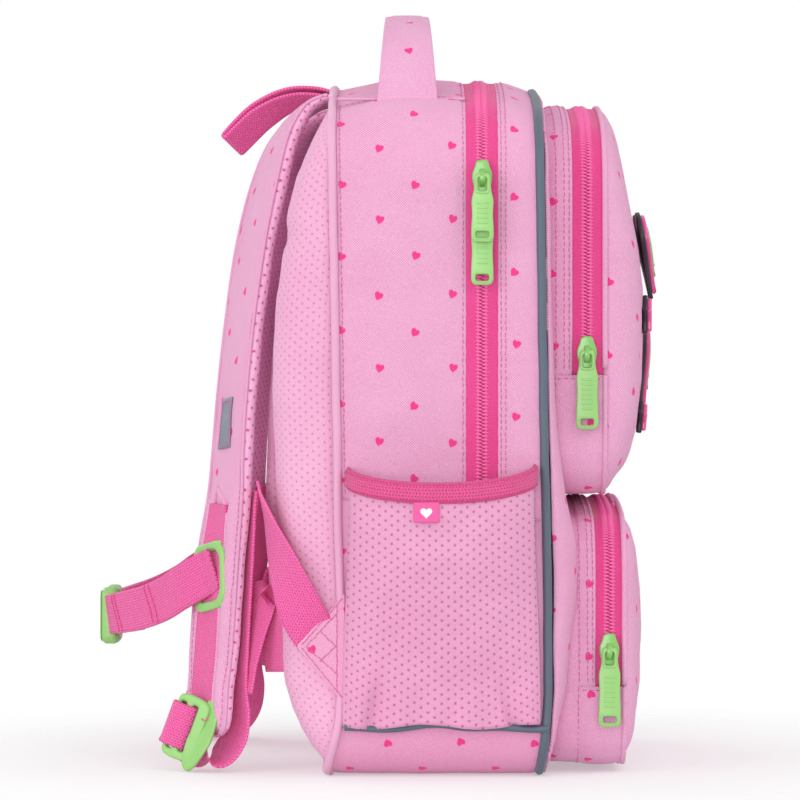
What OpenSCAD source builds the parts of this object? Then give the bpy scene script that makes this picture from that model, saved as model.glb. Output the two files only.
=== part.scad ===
// Child's school backpack: arched main compartment with a wrap-round zip, two zipped front
// pockets, two mesh side pockets, a contoured padded back and a joined shoulder harness.
// +Z is up, +Y is the wearer's side, -Y is the pocket side. The origin is the centre of the base.

/* [Main body] */
// Width of the main compartment
body_w = 280; // [270:2:290]
// Depth of the main compartment between the two piped seams
body_d = 108; // [104:1:112]
// Thickness of the padded fabric walls
wall = 3; // [2.5:0.5:3.5]
// Height where the side walls start to turn into the top
shoulder_z = 318; // [314:1:322]
// Height of the plain band round the base
band_h = 28; // [24:1:32]

/* [Pockets] */
// Width of both front pockets
pocket_w = 236; // [230:2:240]
// Height where the front splits into the opening flap and the fixed part
fold_z = 148; // [147:0.5:149]
// Height where the upper pocket's zip ends
upper_zip_end = 213; // [208:1:218]
// Height where the lower pocket's zip ends
lower_zip_end = 46; // [44:1:50]
// How far the mesh side pockets stand out in the middle of the mouth
side_pocket_bulge = 38; // [34:1:42]

/* [Zips] */
// Visible width of the main zip's tapes
tape_w = 16; // [15:0.5:17]
// Width of a zip pull
pull_w = 11; // [10:0.5:12]
// Length of a zip pull
pull_l = 34; // [32:1:35]

/* [Webbing] */
// Width of the chest webbing and the hanging loop
web_w = 20; // [20:1:22]
// Width of the webbing that carries the load
wide_web_w = 25; // [24:1:26]
// Thickness of the webbing
web_t = 1.6; // [1.4:0.1:1.8]

/* [Hidden] */
half_w = body_w / 2;
half_d = body_d / 2;
top_r = 45;
base_r = 28;
turn_a = 72;
gap = 0.3;
slot_y = -21.5;
zip_end = 147;
side_top_z = shoulder_z + top_r * sin(turn_a);
pocket_x = pocket_w / 2;
up_slot = -78;
low_slot = -90;
up_seam = -86;
low_seam = -97;
pocket_back = -half_d - 3.4;
fold_y = -80;
face_y = -112.7;
pocket_slot_w = 15;
slider_l = 17;
main_slider_z = shoulder_z;
second_slider_z = shoulder_z - slider_l - 1.5;
up_slider_z = upper_zip_end + 12;
low_slider_z = lower_zip_end + 20;
sides = [-1, 1];
far = 400;
$fn = 32;

pink = [0.95, 0.72, 0.86];
mesh_pink = [0.92, 0.64, 0.79];
hot_pink = [0.93, 0.32, 0.6];
grey = [0.4, 0.44, 0.5];
green = [0.58, 0.83, 0.46];

// ---- outlines and profiles ----

// Points on an arc about c, without its last point
function arc(c, r, a0, a1, n) = [
    for (i = [0:n - 1]) let (a = a0 + (a1 - a0) * i / n) c + r * [cos(a), sin(a)]
];

// Arched outline, w wide, standing on zb, with its shoulders at zc, pulled in by d
function arched(w, zb, zc, rt, rb, at, d) =
    let (
        hw = w / 2,
        xe = hw - rt + rt * cos(at),
        ze = zc + rt * sin(at),
        ra = xe / cos(at),
        cz = ze - ra * sin(at)
    )
    concat(
        arc([hw - rt, zc], rt - d, 0, at, 10),
        arc([0, cz], ra - d, at, 180 - at, 14),
        arc([-(hw - rt), zc], rt - d, 180 - at, 180, 10),
        [[-(hw - d), zc]],
        arc([-(hw - rb), zb + rb], rb - d, 180, 270, 6),
        [[-(hw - rb), zb + d]],
        arc([hw - rb, zb + rb], rb - d, 270, 360, 6),
        [[hw - d, zb + rb]]
    );

function body_outline(d) = arched(body_w, 0, shoulder_z, top_r, base_r, turn_a, d);
function upper_outline(d) = arched(pocket_w, 151, 310, 42, 24, 72, d);
function lower_outline(d) = arched(pocket_w, 4.6, 102, 36, 24, 80, d);

// Side profiles, as [y, z]
back_profile = [
    [half_d + 0.2, 2], [57, 2.5], [64, 30], [69, 60], [73, 100], [75, 150], [74, 200], [71, 250],
    [66, 300], [61, 340], [56.5, 371], [half_d + 0.2, 372]
];
lower_pad_profile = [
    [64.6, 22], [71, 24], [80, 38], [86, 60], [91, 100], [93, 145], [91, 200], [87, 250],
    [82, 276], [77, 284], [68, 284], [71.4, 250], [74.4, 200], [75.4, 150], [73.4, 100],
    [69.4, 60], [66.2, 32]
];
upper_pad_profile = [
    [67.8, 290], [76, 290], [80, 295], [78, 308], [73, 328], [66, 346], [61, 350], [61.4, 340], [66.4, 300]
];
upper_face = [
    [pocket_back, 151], [fold_y, 151], [-97, 154], [-105, 160], [-111, 172], [-112.7, 190],
    [-112.7, 213], [-111.5, 262], [-108, 305], [-104, 330], [-100, 345], [-95, 358], [-86, 366],
    [pocket_back, 366]
];
lower_face = [
    [pocket_back, 4], [-88, 4], [-100, 8], [-108, 18], [-111.8, 35], [-112.7, 46], [-112.7, 75],
    [-111.5, 98], [-108, 119], [-102.5, 132], [-95.7, 141], [fold_y, 147], [pocket_back, 147]
];

// Plan profile of a pocket's rounded front, as [x, y], from the seam at y0
function plan(y0, d) =
    let (deep = face_y + d - y0)
    [for (i = [0:12]) let (a = 180 * i / 12) [(pocket_x - d) * cos(a), y0 + deep * pow(sin(a), 0.55)]];

// ---- solid builders ----

// Prism of an outline in the XZ plane, from y0 to y1
module slab(points, y0, y1) {
    translate([0, y1, 0]) rotate([90, 0, 0]) linear_extrude(y1 - y0) polygon(points);
}

// Prism of a side profile in the YZ plane, from x0 to x1
module along_x(points, x0, x1) {
    translate([x0, 0, 0]) rotate([90, 0, 90]) linear_extrude(x1 - x0) polygon(points);
}

module box(low, high) {
    translate(low) cube(high - low);
}

// Hoop of the body's outline between two insets
module body_hoop(y0, y1, d0, d1) {
    difference() {
        slab(body_outline(d0), y0, y1);
        slab(body_outline(d1), y0 - 1, y1 + 1);
    }
}

module upper_hoop(y0, y1, d0, d1) {
    intersection() {
        difference() {
            slab(upper_outline(d0), y0, y1);
            slab(upper_outline(d1), y0 - 1, y1 + 1);
        }
        along_x(upper_face, -far, far);
    }
}

module lower_hoop(y0, y1, d0, d1) {
    intersection() {
        difference() {
            slab(lower_outline(d0), y0, y1);
            slab(lower_outline(d1), y0 - 1, y1 + 1);
        }
        along_x(lower_face, -far, far);
    }
}

// Hollow, rounded front of a pocket, in front of its seam
module pocket_shell(outline_out, outline_in, face, seam, inner_face) {
    difference() {
        intersection() {
            slab(outline_out, -far, seam);
            along_x(face, -far, far);
            translate([0, 0, -10]) linear_extrude(far) polygon(plan(seam, 0));
        }
        intersection() {
            slab(outline_in, -far, seam + 1);
            along_x(inner_face, -far, far);
            translate([0, 0, -10]) linear_extrude(far) polygon(plan(seam + 1, wall));
        }
    }
}

// Solid skin between a list of rings, each ring a closed loop of points
module loft(rings) {
    n = len(rings[0]);
    m = len(rings);
    skin = [
        for (i = [0:m - 2], j = [0:n - 1])
            let (a = i * n + j, b = i * n + (j + 1) % n)
            each [[a, b + n, b], [a, a + n, b + n]]
    ];
    caps = [[for (j = [0:n - 1]) j], [for (j = [n - 1:-1:0]) (m - 1) * n + j]];
    polyhedron([for (r = rings) each r], concat(skin, caps));
}

function unit(v) = v / norm(v);
function xyz(row) = [row[0], row[1], row[2]];

// Smooth curve through rows of numbers, with k steps between each pair
function blend_row(a, b, c, d, t) =
    0.5 * (2 * b + (c - a) * t + (2 * a - 5 * b + 4 * c - d) * t * t + (3 * b - a - 3 * c + d) * t * t * t);
function smooth(rows, k) =
    let (n = len(rows))
    concat(
        [for (i = [0:n - 2], j = [0:k - 1])
            blend_row(rows[max(i - 1, 0)], rows[i], rows[i + 1], rows[min(i + 2, n - 1)], j / k)],
        [rows[n - 1]]
    );

// Rings of a flat section along rows of [x, y, z, width, thickness, turn]. The width lies along +X,
// turned by the last number towards +Y, or along the fixed direction lay where one is given.
function eased(v, power) = sign(v) * pow(abs(v), power);
function section(w, t, round_ends) =
    round_ends
        ? [for (a = [0:30:330])
            [(w / 2 - t * 0.35) * eased(cos(a), 0.45) + t * 0.35 * cos(a), t / 2 * eased(sin(a), 0.6)]]
        : [[-w / 2, -t / 2], [w / 2, -t / 2], [w / 2, t / 2], [-w / 2, t / 2]];
function rings_along(rows, round_ends, lay) = [
    for (i = [0:len(rows) - 1])
        let (
            p = xyz(rows[i]),
            tangent = unit(xyz(rows[min(i + 1, len(rows) - 1)]) - xyz(rows[max(i - 1, 0)])),
            raw = is_undef(lay) ? [cos(rows[i][5]), sin(rows[i][5]), 0] : lay,
            across = unit(raw - (raw * tangent) * tangent),
            out = cross(tangent, across)
        )
        [for (q = section(rows[i][3], rows[i][4], round_ends)) p + q[0] * across + q[1] * out]
];

// ---- main body ----

module back_panel() color(mesh_pink) {
    intersection() {
        slab(body_outline(5.4), half_d + 0.2, 90);
        along_x(back_profile, -far, far);
    }
}

module back_board() color("white") {
    slab(body_outline(8), half_d - 2.2, half_d - 0.2);
}

module back_pad_pair(profile, z0, z1, x0, x1) {
    for (s = sides) intersection() {
        along_x(profile, s > 0 ? x0 : -x1, s > 0 ? x1 : -x0);
        slab(arched(body_w - 52, z0, z1 - 30, 30, 24, 80, 0), 0, 120);
    }
}

module upper_back_pads() color(mesh_pink) back_pad_pair(upper_pad_profile, 286, 352, 20, 108);
module lower_back_pads() color(mesh_pink) back_pad_pair(lower_pad_profile, 20, 292, 20, 112);
module rear_piping() color(pink) body_hoop(half_d + 0.2, half_d + 4.4, 0, 4);

// Side wall: full depth below the zip's end, and behind the zip above it
module side_panel(s) color(pink) {
    intersection() {
        difference() {
            body_hoop(-half_d, half_d, 0, wall);
            box([-far, -far, zip_end], [far, slot_y + tape_w / 2 + 0.1, far]);
        }
        box([s > 0 ? 1 : -far, -far, band_h + 0.1], [s > 0 ? far : -1, far, side_top_z]);
    }
}

module top_panel() color(pink) {
    intersection() {
        body_hoop(slot_y + tape_w / 2 + 0.1, half_d, 0, wall);
        box([-far, -far, side_top_z + 0.1], [far, far, far]);
    }
}

module base_band() color(pink) {
    intersection() {
        body_hoop(-half_d, half_d, 0, wall);
        box([-far, -far, -1], [far, far, band_h]);
    }
}

module base_board() color("white") box([-112, -48, wall + 0.3], [112, 48, wall + 2.3]);

module front_panel_lower() color(pink) {
    intersection() {
        slab(body_outline(4.3), -half_d - 3.2, -half_d - 0.2);
        box([-far, -far, -1], [far, far, fold_z - 1]);
    }
}

module front_piping() color(grey) body_hoop(-half_d - 4.4, -half_d - 0.2, 0, 4);
module front_piping_lower() {
    intersection() {
        front_piping();
        box([-far, -far, -1], [far, far, zip_end]);
    }
}

// Document sleeve against the back board: open at the top
module inner_sleeve() color([0.8, 0.8, 0.84]) {
    difference() {
        box([-112, half_d - 12, 8], [112, half_d - 2.4, 214]);
        box([-110.6, half_d - 10.6, 9.4], [110.6, half_d, 215]);
    }
}

pocket_top = 155;
pocket_foot = 29;
// Plan section of the right mesh pocket at height z, pulled in by d
function pocket_plan(z, d) =
    let (
        rise = (z - pocket_foot) / (pocket_top - pocket_foot),
        out = 7 + (side_pocket_bulge - 7) * sin(90 * rise)
    )
    [for (i = [0:12]) let (a = 180 * i / 12)
        [half_w + gap + (out - d) * pow(sin(a), 0.75), -(half_d - 3 - d) * cos(a), z]];

module pocket_body(z0, z1, d) {
    steps = 6;
    loft([for (i = [0:steps]) let (z = z0 + (z1 - z0) * i / steps) pocket_plan(z, d)]);
}

module mesh_pocket(s) color(mesh_pink) {
    mirror([s > 0 ? 0 : 1, 0, 0]) difference() {
        pocket_body(pocket_foot, pocket_top - 8.2, 0);
        pocket_body(pocket_foot + 2, pocket_top + 2, 2);
    }
}

module pocket_binding(s) color(hot_pink) {
    mirror([s > 0 ? 0 : 1, 0, 0]) difference() {
        pocket_body(pocket_top - 8, pocket_top, -0.6);
        pocket_body(pocket_top - 10, pocket_top + 2, 2);
        box([0, -far, -1], [half_w + 0.3, far, far]);
    }
}

// Small folded tag sewn under the left pocket's binding
module pocket_tag() color(hot_pink) {
    box(
        [-half_w - side_pocket_bulge - 2.4, -10, pocket_top - 20],
        [-half_w - side_pocket_bulge - 0.9, 4, pocket_top - 8.2]
    );
}

module strap_anchor_patches() color(pink) {
    for (s = sides) mirror([s > 0 ? 0 : 1, 0, 0])
        translate([half_w - 3.9, 0, 0]) rotate([90, 0, 90]) linear_extrude(3)
            polygon([[half_d + 4.7, 88], [78, 70], [half_d + 4.7, 38]]);
}

// ---- zips ----

// Tape of the main zip with the rib of its coil along y = coil_y
module body_tape(y0, y1, coil_y) color(hot_pink) {
    intersection() {
        union() {
            body_hoop(y0, y1, 0.8, 2);
            body_hoop(coil_y - 1.6, coil_y + 1.6, -1, 1);
        }
        box([-far, -far, zip_end + 0.2], [far, far, far]);
    }
}

module main_zip_tape_rear() body_tape(slot_y + 0.8, slot_y + tape_w / 2, slot_y + 2.4);
module main_zip_tape_front() body_tape(slot_y - tape_w / 2, slot_y - 0.8, slot_y - 2.4);

// A pocket's tape with its coil, above the zip's end
module pocket_tape_upper(y0, y1, coil_y) color(hot_pink) {
    intersection() {
        union() {
            upper_hoop(y0, y1, 0.8, 2);
            upper_hoop(coil_y - 1.6, coil_y + 1.6, -1, 1);
        }
        box([-far, -far, upper_zip_end + 0.2], [far, far, far]);
    }
}

module pocket_tape_lower(y0, y1, coil_y) color(hot_pink) {
    intersection() {
        union() {
            lower_hoop(y0, y1, 0.8, 2);
            lower_hoop(coil_y - 1.6, coil_y + 1.6, -1, 1);
        }
        box([-far, -far, lower_zip_end + 0.2], [far, far, far]);
    }
}

module upper_zip_tape_rear() pocket_tape_upper(up_slot + 0.8, up_slot + pocket_slot_w / 2, up_slot + 2.4);
module upper_zip_tape_front() pocket_tape_upper(up_seam + 0.2, up_slot - 0.8, up_slot - 2.4);
module lower_zip_tape_rear() pocket_tape_lower(low_slot + 0.8, low_slot + 7, low_slot + 2.4);
module lower_zip_tape_front() pocket_tape_lower(low_seam + 0.2, low_slot - 0.8, low_slot - 2.4);

slider_plate = [
    [-3.4, slider_l / 2], [3.4, slider_l / 2], [3.6, 5], [5.4, 2], [5.4, -2],
    [3.6, -slider_l / 2], [-3.6, -slider_l / 2], [-5.4, -2], [-5.4, 2], [-3.6, 5]
];
// Slider in its own frame: +X is outwards, the coil's face is at x = 1, +Z along the zip
module zip_slider(bail_x) color(green) {
    difference() {
        union() {
            translate([1.3, 0, 0]) rotate([90, 0, 90]) linear_extrude(2.2) polygon(slider_plate);
            translate([-4.6, -0.4, -3]) cube([6, 0.8, 6]);
            translate([-4.6, -4.5, -6]) cube([1.2, 9, 12]);
            translate([3.5, -1.4, -4.5]) cube([bail_x + 3 - 3.5, 2.8, 9]);
        }
        translate([bail_x, 0, -0.5]) rotate([90, 0, 0]) cylinder(r = 1.9, h = 10, center = true);
    }
}

pull_tip = pull_w / 2 - 2;
pull_plate = [
    [-3.6, -6.8], [3.6, -6.8], [pull_w / 2, -14], [pull_w / 2, -pull_l + 2],
    [pull_tip, -pull_l], [-pull_tip, -pull_l], [-pull_w / 2, -pull_l + 2], [-pull_w / 2, -14]
];
// Pull hanging from the slider's bail, whose bar is at x = bail_x
module zip_pull(bail_x) color(green) {
    translate([bail_x, 0, -0.5]) {
        rotate([90, 0, 0]) cylinder(r = 1.1, h = 6.4, center = true);
        difference() {
            union() {
                translate([-0.9, -3.2 - 1.2, -7]) cube([1.8, 2 * (3.2 + 1.2), 7.9]);
                translate([-1, 0, 0]) rotate([90, 0, 90]) linear_extrude(2) polygon(pull_plate);
            }
            translate([-3, -2.4, -6.2]) cube([6, 4.8, 8]);
            translate([-3, -3, -pull_l + 2]) cube([6, 6, 4.2]);
        }
        rotate([90, 0, 0]) cylinder(r = 0.9, h = 6.4, center = true);
    }
}

main_at = [-half_w, slot_y, main_slider_z];
second_at = [-half_w, slot_y, second_slider_z];
up_at = [-pocket_x, up_slot, up_slider_z];
low_at = [-pocket_x, low_slot, low_slider_z];
high_bail = 9.8;
low_bail = 5.2;

module on_left(at) {
    translate(at) rotate([0, 0, 180]) children();
}

module main_slider_upper() on_left(main_at) zip_slider(high_bail);
module main_pull_upper() on_left(main_at) zip_pull(high_bail);
module main_slider_lower() on_left(second_at) zip_slider(low_bail);
module main_pull_lower() on_left(second_at) zip_pull(low_bail);
module upper_pocket_slider() on_left(up_at) zip_slider(low_bail);
module upper_pocket_pull() on_left(up_at) zip_pull(low_bail);
module lower_pocket_slider() on_left(low_at) zip_slider(low_bail);
module lower_pocket_pull() on_left(low_at) zip_pull(low_bail);

// ---- opening front ----

module front_gusset() color(pink) {
    intersection() {
        body_hoop(-half_d, slot_y - tape_w / 2 - 0.1, 0, wall);
        box([-far, -far, fold_z + 2], [far, far, far]);
    }
}

module front_panel_upper() color(pink) {
    intersection() {
        slab(body_outline(4.3), -half_d - 3.2, -half_d - 0.2);
        box([-far, -far, fold_z + 2], [far, far, far]);
    }
}

module front_piping_upper() {
    intersection() {
        front_piping();
        box([-far, -far, fold_z + 2], [far, far, far]);
    }
}

// Gusset of the upper pocket behind its zip, with the plain stretch below the zip's end
module upper_pocket_gusset() color(pink) {
    upper_hoop(up_slot + pocket_slot_w / 2 + 0.1, pocket_back - 0.1, 0, wall);
    intersection() {
        upper_hoop(up_seam + 0.1, up_slot + pocket_slot_w / 2 + 0.1, 0, wall);
        box([-far, -far, 100], [far, far, upper_zip_end]);
    }
}

inner_shift = 3;
upper_inner_face = [for (p = upper_face) [p[0] + inner_shift, p[1] < 200 ? p[1] + 3 : p[1] - 3]];
lower_inner_face = [for (p = lower_face) [p[0] + inner_shift, p[1] < 60 ? p[1] + 3 : p[1] - 3]];

module upper_shell()
    pocket_shell(upper_outline(0), upper_outline(wall), upper_face, up_seam, upper_inner_face);
module lower_shell()
    pocket_shell(lower_outline(0), lower_outline(wall), lower_face, low_seam, lower_inner_face);

module upper_pocket_front() color(pink) {
    intersection() {
        upper_shell();
        box([-far, -far, 100], [far, far, upper_zip_end]);
    }
}

module upper_pocket_cover() color(pink) {
    intersection() {
        upper_shell();
        box([-far, -far, upper_zip_end + gap], [far, far, far]);
    }
}

module lower_pocket_gusset() color(pink) {
    lower_hoop(low_slot + 7.1, pocket_back - 0.1, 0, wall);
    intersection() {
        lower_hoop(low_seam + 0.1, low_slot + 7.1, 0, wall);
        box([-far, -far, 0], [far, far, lower_zip_end]);
    }
}

module lower_pocket_front() color(pink) {
    intersection() {
        lower_shell();
        box([-far, -far, 0], [far, far, lower_zip_end]);
    }
}

module lower_pocket_cover() color(pink) {
    intersection() {
        lower_shell();
        box([-far, -far, lower_zip_end + gap], [far, far, far]);
    }
}

// Heart outline in its own plane, w wide
function heart(w) = [
    for (i = [0:35])
        let (a = i * 10)
        w / 33 * [16 * pow(sin(a), 3), 13 * cos(a) - 5 * cos(2 * a) - 2 * cos(3 * a) - cos(4 * a)]
];

// Two foam hearts on the upper pocket's cover, as [x, z, width]
badges = [[-26, 294, 62], [24, 254, 76]];
module badge_layer(y0, depth, shrink) {
    for (b = badges) translate([b[0], y0, b[1]]) rotate([90, 0, 0])
        linear_extrude(depth) polygon(heart(b[2] * shrink));
}

module badge_backing() color([0.08, 0.07, 0.09]) badge_layer(face_y - 0.4, 2.4, 1);
module badge_faces() color(hot_pink) badge_layer(face_y - 3, 2, 0.9);

// ---- handle and loop ----

handle_y = 18;
// One half of the handle's arch, from above its foot to the middle
handle_half = [
    [-109, handle_y, 372, 31, 3, 0], [-97, handle_y, 389.5, 29, 4, 0], [-72, handle_y, 404, 26.5, 5, 0],
    [-36, handle_y, 413, 25, 5.5, 0], [0, handle_y, 415, 25, 5.5, 0]
];
function mirrored(row) = [-row[0], row[1], row[2], row[3], row[4], row[5]];
handle_rows = concat(handle_half, [for (i = [len(handle_half) - 2:-1:0]) mirrored(handle_half[i])]);
module grab_handle() color(pink) loft(rings_along(smooth(handle_rows, 3), true, [0, 1, 0]));

// The handle's two sewn ends, standing out of the seams beside the top panel
module handle_feet() color(pink) {
    for (s = sides) mirror([s > 0 ? 0 : 1, 0, 0])
        translate([109.4, handle_y - 16, 361.4]) cube([3, 32, 4.6]);
}

// Hanging loop: one webbing that runs out of the top seam, folds and runs back to it
loop_rows = [
    [0, 61, 374.4, web_w, web_t, 0], [0, 76, 377, web_w, web_t, 0], [0, 92, 374.5, web_w, web_t, 0],
    [0, 108, 365, web_w, web_t, 0], [0, 119, 352.5, web_w, web_t, 0], [0, 119, 347, web_w, web_t, 0],
    [0, 113, 346.6, web_w, web_t, 0], [0, 102, 355, web_w, web_t, 0], [0, 88, 364.5, web_w, web_t, 0],
    [0, 75, 369.4, web_w, web_t, 0], [0, 61, 370.6, web_w, web_t, 0]
];
module hanging_loop() color(hot_pink) loft(rings_along(smooth(loop_rows, 3), false, [1, 0, 0]));

// ---- harness ----

strap_rows = [
    [-60, 62, 362, 60, 7, 3], [-61, 74, 358, 62, 10, 6],
    [-64, 84, 342, 63, 13, 10], [-68, 92, 318, 63, 14, 13],
    [-73, 99.5, 285, 61, 14, 15], [-80, 105.5, 245, 57, 14, 15], [-87, 109.5, 205, 52, 14, 16],
    [-92, 111.5, 170, 48, 14, 18], [-94, 114, 140, 46, 13, 22], [-94, 118, 105, 45, 13, 25],
    [-94, 121.5, 70, 44, 13, 26], [-94, 123.5, 44, 42, 12, 26], [-94, 124.5, 31, 36, 9, 26]
];
module shoulder_strap(s) color(pink) {
    mirror([s > 0 ? 1 : 0, 0, 0]) loft(rings_along(smooth(strap_rows, 3), true, undef));
}

strap_path = smooth(strap_rows, 3);
// A row beside the strap's middle line: a along its width, b off its wearer's face (-) or pack face (+)
function beside(i, a, b, w, t) =
    let (
        row = strap_path[i],
        tangent = unit(xyz(strap_path[min(i + 1, len(strap_path) - 1)]) - xyz(strap_path[i - 1])),
        raw = [cos(row[5]), sin(row[5]), 0],
        across = unit(raw - (raw * tangent) * tangent),
        off = sign(b) * (row[4] / 2 + abs(b)),
        p = xyz(row) + a * across + off * cross(tangent, across)
    )
    [p[0], p[1], p[2], w, t, row[5]];

// Webbing down the face of each strap's lower half, from the notch to the adjuster
module rail_webbing() color(hot_pink) {
    for (s = sides) mirror([s > 0 ? 1 : 0, 0, 0])
        loft(rings_along([for (i = [23:33]) beside(i, -3, -1.2, wide_web_w, web_t)], false, undef));
}

module reflective_patches() color(grey) {
    for (s = sides) mirror([s > 0 ? 1 : 0, 0, 0])
        loft(rings_along([for (i = [18:21]) beside(i, 3, -0.8, 17, 0.8)], false, undef));
}

lock_plate = [
    [-17, 12], [-15, 15], [15, 15], [17, 12], [17, -6],
    [10, -16], [4, -21], [-4, -21], [-10, -16], [-17, -6]
];
// Ladder-lock adjuster at the end of each strap
adjuster_at = [-98, 143, 24];
adjuster_tilt = 38;
adjuster_slot = [wide_web_w + 1.4, 10, 3.6];
module strap_adjusters() color(green) {
    for (s = sides) mirror([s > 0 ? 1 : 0, 0, 0])
        translate(adjuster_at) rotate([0, 0, 26]) rotate([adjuster_tilt, 0, 0]) difference() {
            rotate([90, 0, 0]) linear_extrude(4, center = true) polygon(lock_plate);
            for (z = [7.5, -1.5]) translate([-adjuster_slot[0] / 2, -5, z]) cube(adjuster_slot);
        }
}

// Webbing from the anchor patch up behind the strap, then down its pack face to the adjuster
rise_rows = [
    [-137.8, 69.4, 80.2, wide_web_w, web_t, 90], [-137.2, 76, 88.5, wide_web_w, web_t, 87],
    [-134.6, 83, 102, wide_web_w, web_t, 78], [-129.5, 89, 120, wide_web_w, web_t, 62],
    [-122.5, 93.4, 136, wide_web_w, web_t, 42], [-116.5, 95.3, 149, wide_web_w, web_t, 26]
];
fall_rows = concat(
    [for (i = [23:2:33]) beside(i, -8 + (i - 23) * 0.4, 1.5, wide_web_w, web_t)],
    [
        [-98, 113, 22, wide_web_w, web_t, 26], [-98, 119, 12, wide_web_w, web_t, 26],
        [-98, 127, 8.6, wide_web_w, web_t, 26], [-98, 135, 9.6, wide_web_w, web_t, 26]
    ]
);
module lower_webbing(s) color(hot_pink) {
    mirror([s > 0 ? 1 : 0, 0, 0]) {
        loft(rings_along(smooth(rise_rows, 3), false, undef));
        loft(rings_along(smooth(fall_rows, 2), false, undef));
    }
}

// ---- sternum strap ----

sternum_z = 104;
rail_slider_plate = [
    [-14, 14], [-11, 17], [11, 17], [14, 14], [14, -14], [11, -17], [-11, -17], [-14, -14]
];
module sternum_sliders() color(green) {
    for (s = sides) mirror([s > 0 ? 1 : 0, 0, 0])
        translate([-98, 132.2, sternum_z]) rotate([0, 0, 25]) rotate([5, 0, 0]) difference() {
            rotate([90, 0, 0]) linear_extrude(3.4, center = true) polygon(rail_slider_plate);
            translate([-10.6, -5, 9]) cube([21.2, 10, 4]);
            translate([-10.6, -5, -13]) cube([21.2, 10, 4]);
            translate([4, -5, -7.5]) cube([6, 10, 15]);
        }
}

sternum_rows = [
    [-78, 145, 97, web_w, web_t, 0], [-66, 157, 92, web_w, web_t, 0], [-50, 169, 86, web_w, web_t, 0],
    [-36, 177, 82, web_w, web_t, 0], [-25, 181.6, 80, web_w, web_t, 0]
];
module sternum_webbing(s) color(hot_pink) {
    mirror([s > 0 ? 1 : 0, 0, 0]) loft(rings_along(smooth(sternum_rows, 3), false, [0, 0.1, 1]));
}

buckle_at = [0, 183.5, 79];
buckle_h = 28;
module buckle_socket() color(green) {
    translate(buckle_at) difference() {
        translate([-22, -4.5, -buckle_h / 2]) cube([26, 9, buckle_h]);
        translate([-12, -2.7, -10.4]) cube([17, 5.4, 20.8]);
        translate([-10, -2.7, -20]) cube([8, 5.4, 40]);
        translate([-19.5, -6, -10.5]) cube([4, 12, 21]);
    }
}

module buckle_plug() color(green) {
    translate(buckle_at) {
        difference() {
            translate([4.4, -4, -buckle_h / 2]) cube([17.6, 8, buckle_h]);
            translate([15.5, -6, -10.5]) cube([4, 12, 21]);
        }
        for (s = sides) translate([-10, -2.2, s > 0 ? 6.4 : -9.8]) cube([14.4, 4.4, 3.4]);
        translate([-9, -2.2, -1.6]) cube([13.4, 4.4, 3.2]);
    }
}

// ---- node switch ----

back_panel();
back_board();
upper_back_pads();
lower_back_pads();
rear_piping();
side_panel(-1);  // side_panel_left
side_panel(1);  // side_panel_right
top_panel();
base_band();
base_board();
front_panel_lower();
front_piping_lower();
inner_sleeve();
main_zip_tape_rear();
mesh_pocket(-1);  // mesh_pocket_left
mesh_pocket(1);  // mesh_pocket_right
pocket_binding(-1);  // pocket_binding_left
pocket_binding(1);  // pocket_binding_right
pocket_tag();
strap_anchor_patches();
lower_pocket_gusset();
lower_pocket_front();
lower_zip_tape_rear();
front_gusset();
front_panel_upper();
front_piping_upper();
main_zip_tape_front();
upper_pocket_gusset();
upper_pocket_front();
upper_zip_tape_rear();
upper_pocket_cover();
upper_zip_tape_front();
badge_backing();
badge_faces();
lower_pocket_cover();
lower_zip_tape_front();
main_slider_upper();
main_pull_upper();
main_slider_lower();
main_pull_lower();
upper_pocket_slider();
upper_pocket_pull();
lower_pocket_slider();
lower_pocket_pull();
handle_feet();
grab_handle();
hanging_loop();
shoulder_strap(-1);  // shoulder_strap_left
shoulder_strap(1);  // shoulder_strap_right
rail_webbing();
reflective_patches();
strap_adjusters();
lower_webbing(-1);  // lower_webbing_left
lower_webbing(1);  // lower_webbing_right
sternum_sliders();
sternum_webbing(-1);  // sternum_webbing_left
sternum_webbing(1);  // sternum_webbing_right
buckle_socket();
buckle_plug();
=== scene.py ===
"""School backpack: fabric, zips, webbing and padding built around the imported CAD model."""
import math

import bpy
import bmesh
import numpy as np
from mathutils import Matrix, Vector, noise
from mathutils.bvhtree import BVHTree


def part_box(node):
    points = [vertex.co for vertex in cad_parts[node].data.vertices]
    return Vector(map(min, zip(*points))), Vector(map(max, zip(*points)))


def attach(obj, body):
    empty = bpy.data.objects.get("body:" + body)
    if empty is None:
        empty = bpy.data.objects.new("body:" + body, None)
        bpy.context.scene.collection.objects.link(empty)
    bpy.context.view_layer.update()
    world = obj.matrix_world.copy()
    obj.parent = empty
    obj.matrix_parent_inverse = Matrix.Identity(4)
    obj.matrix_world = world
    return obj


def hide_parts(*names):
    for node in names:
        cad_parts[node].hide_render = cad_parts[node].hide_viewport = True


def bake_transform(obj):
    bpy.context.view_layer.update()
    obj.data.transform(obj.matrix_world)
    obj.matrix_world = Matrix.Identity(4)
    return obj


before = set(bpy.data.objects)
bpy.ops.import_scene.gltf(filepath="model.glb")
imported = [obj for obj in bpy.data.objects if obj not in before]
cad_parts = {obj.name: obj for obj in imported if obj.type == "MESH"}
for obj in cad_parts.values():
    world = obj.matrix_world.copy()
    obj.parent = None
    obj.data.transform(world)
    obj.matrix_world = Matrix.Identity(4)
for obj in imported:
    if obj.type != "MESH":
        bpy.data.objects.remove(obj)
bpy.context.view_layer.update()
MM = 0.001


# ---------------------------------------------------------------- sizes, in millimetres, from the frame
def node_box(name):
    low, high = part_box(name)
    return np.array(low) / MM, np.array(high) / MM


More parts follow.
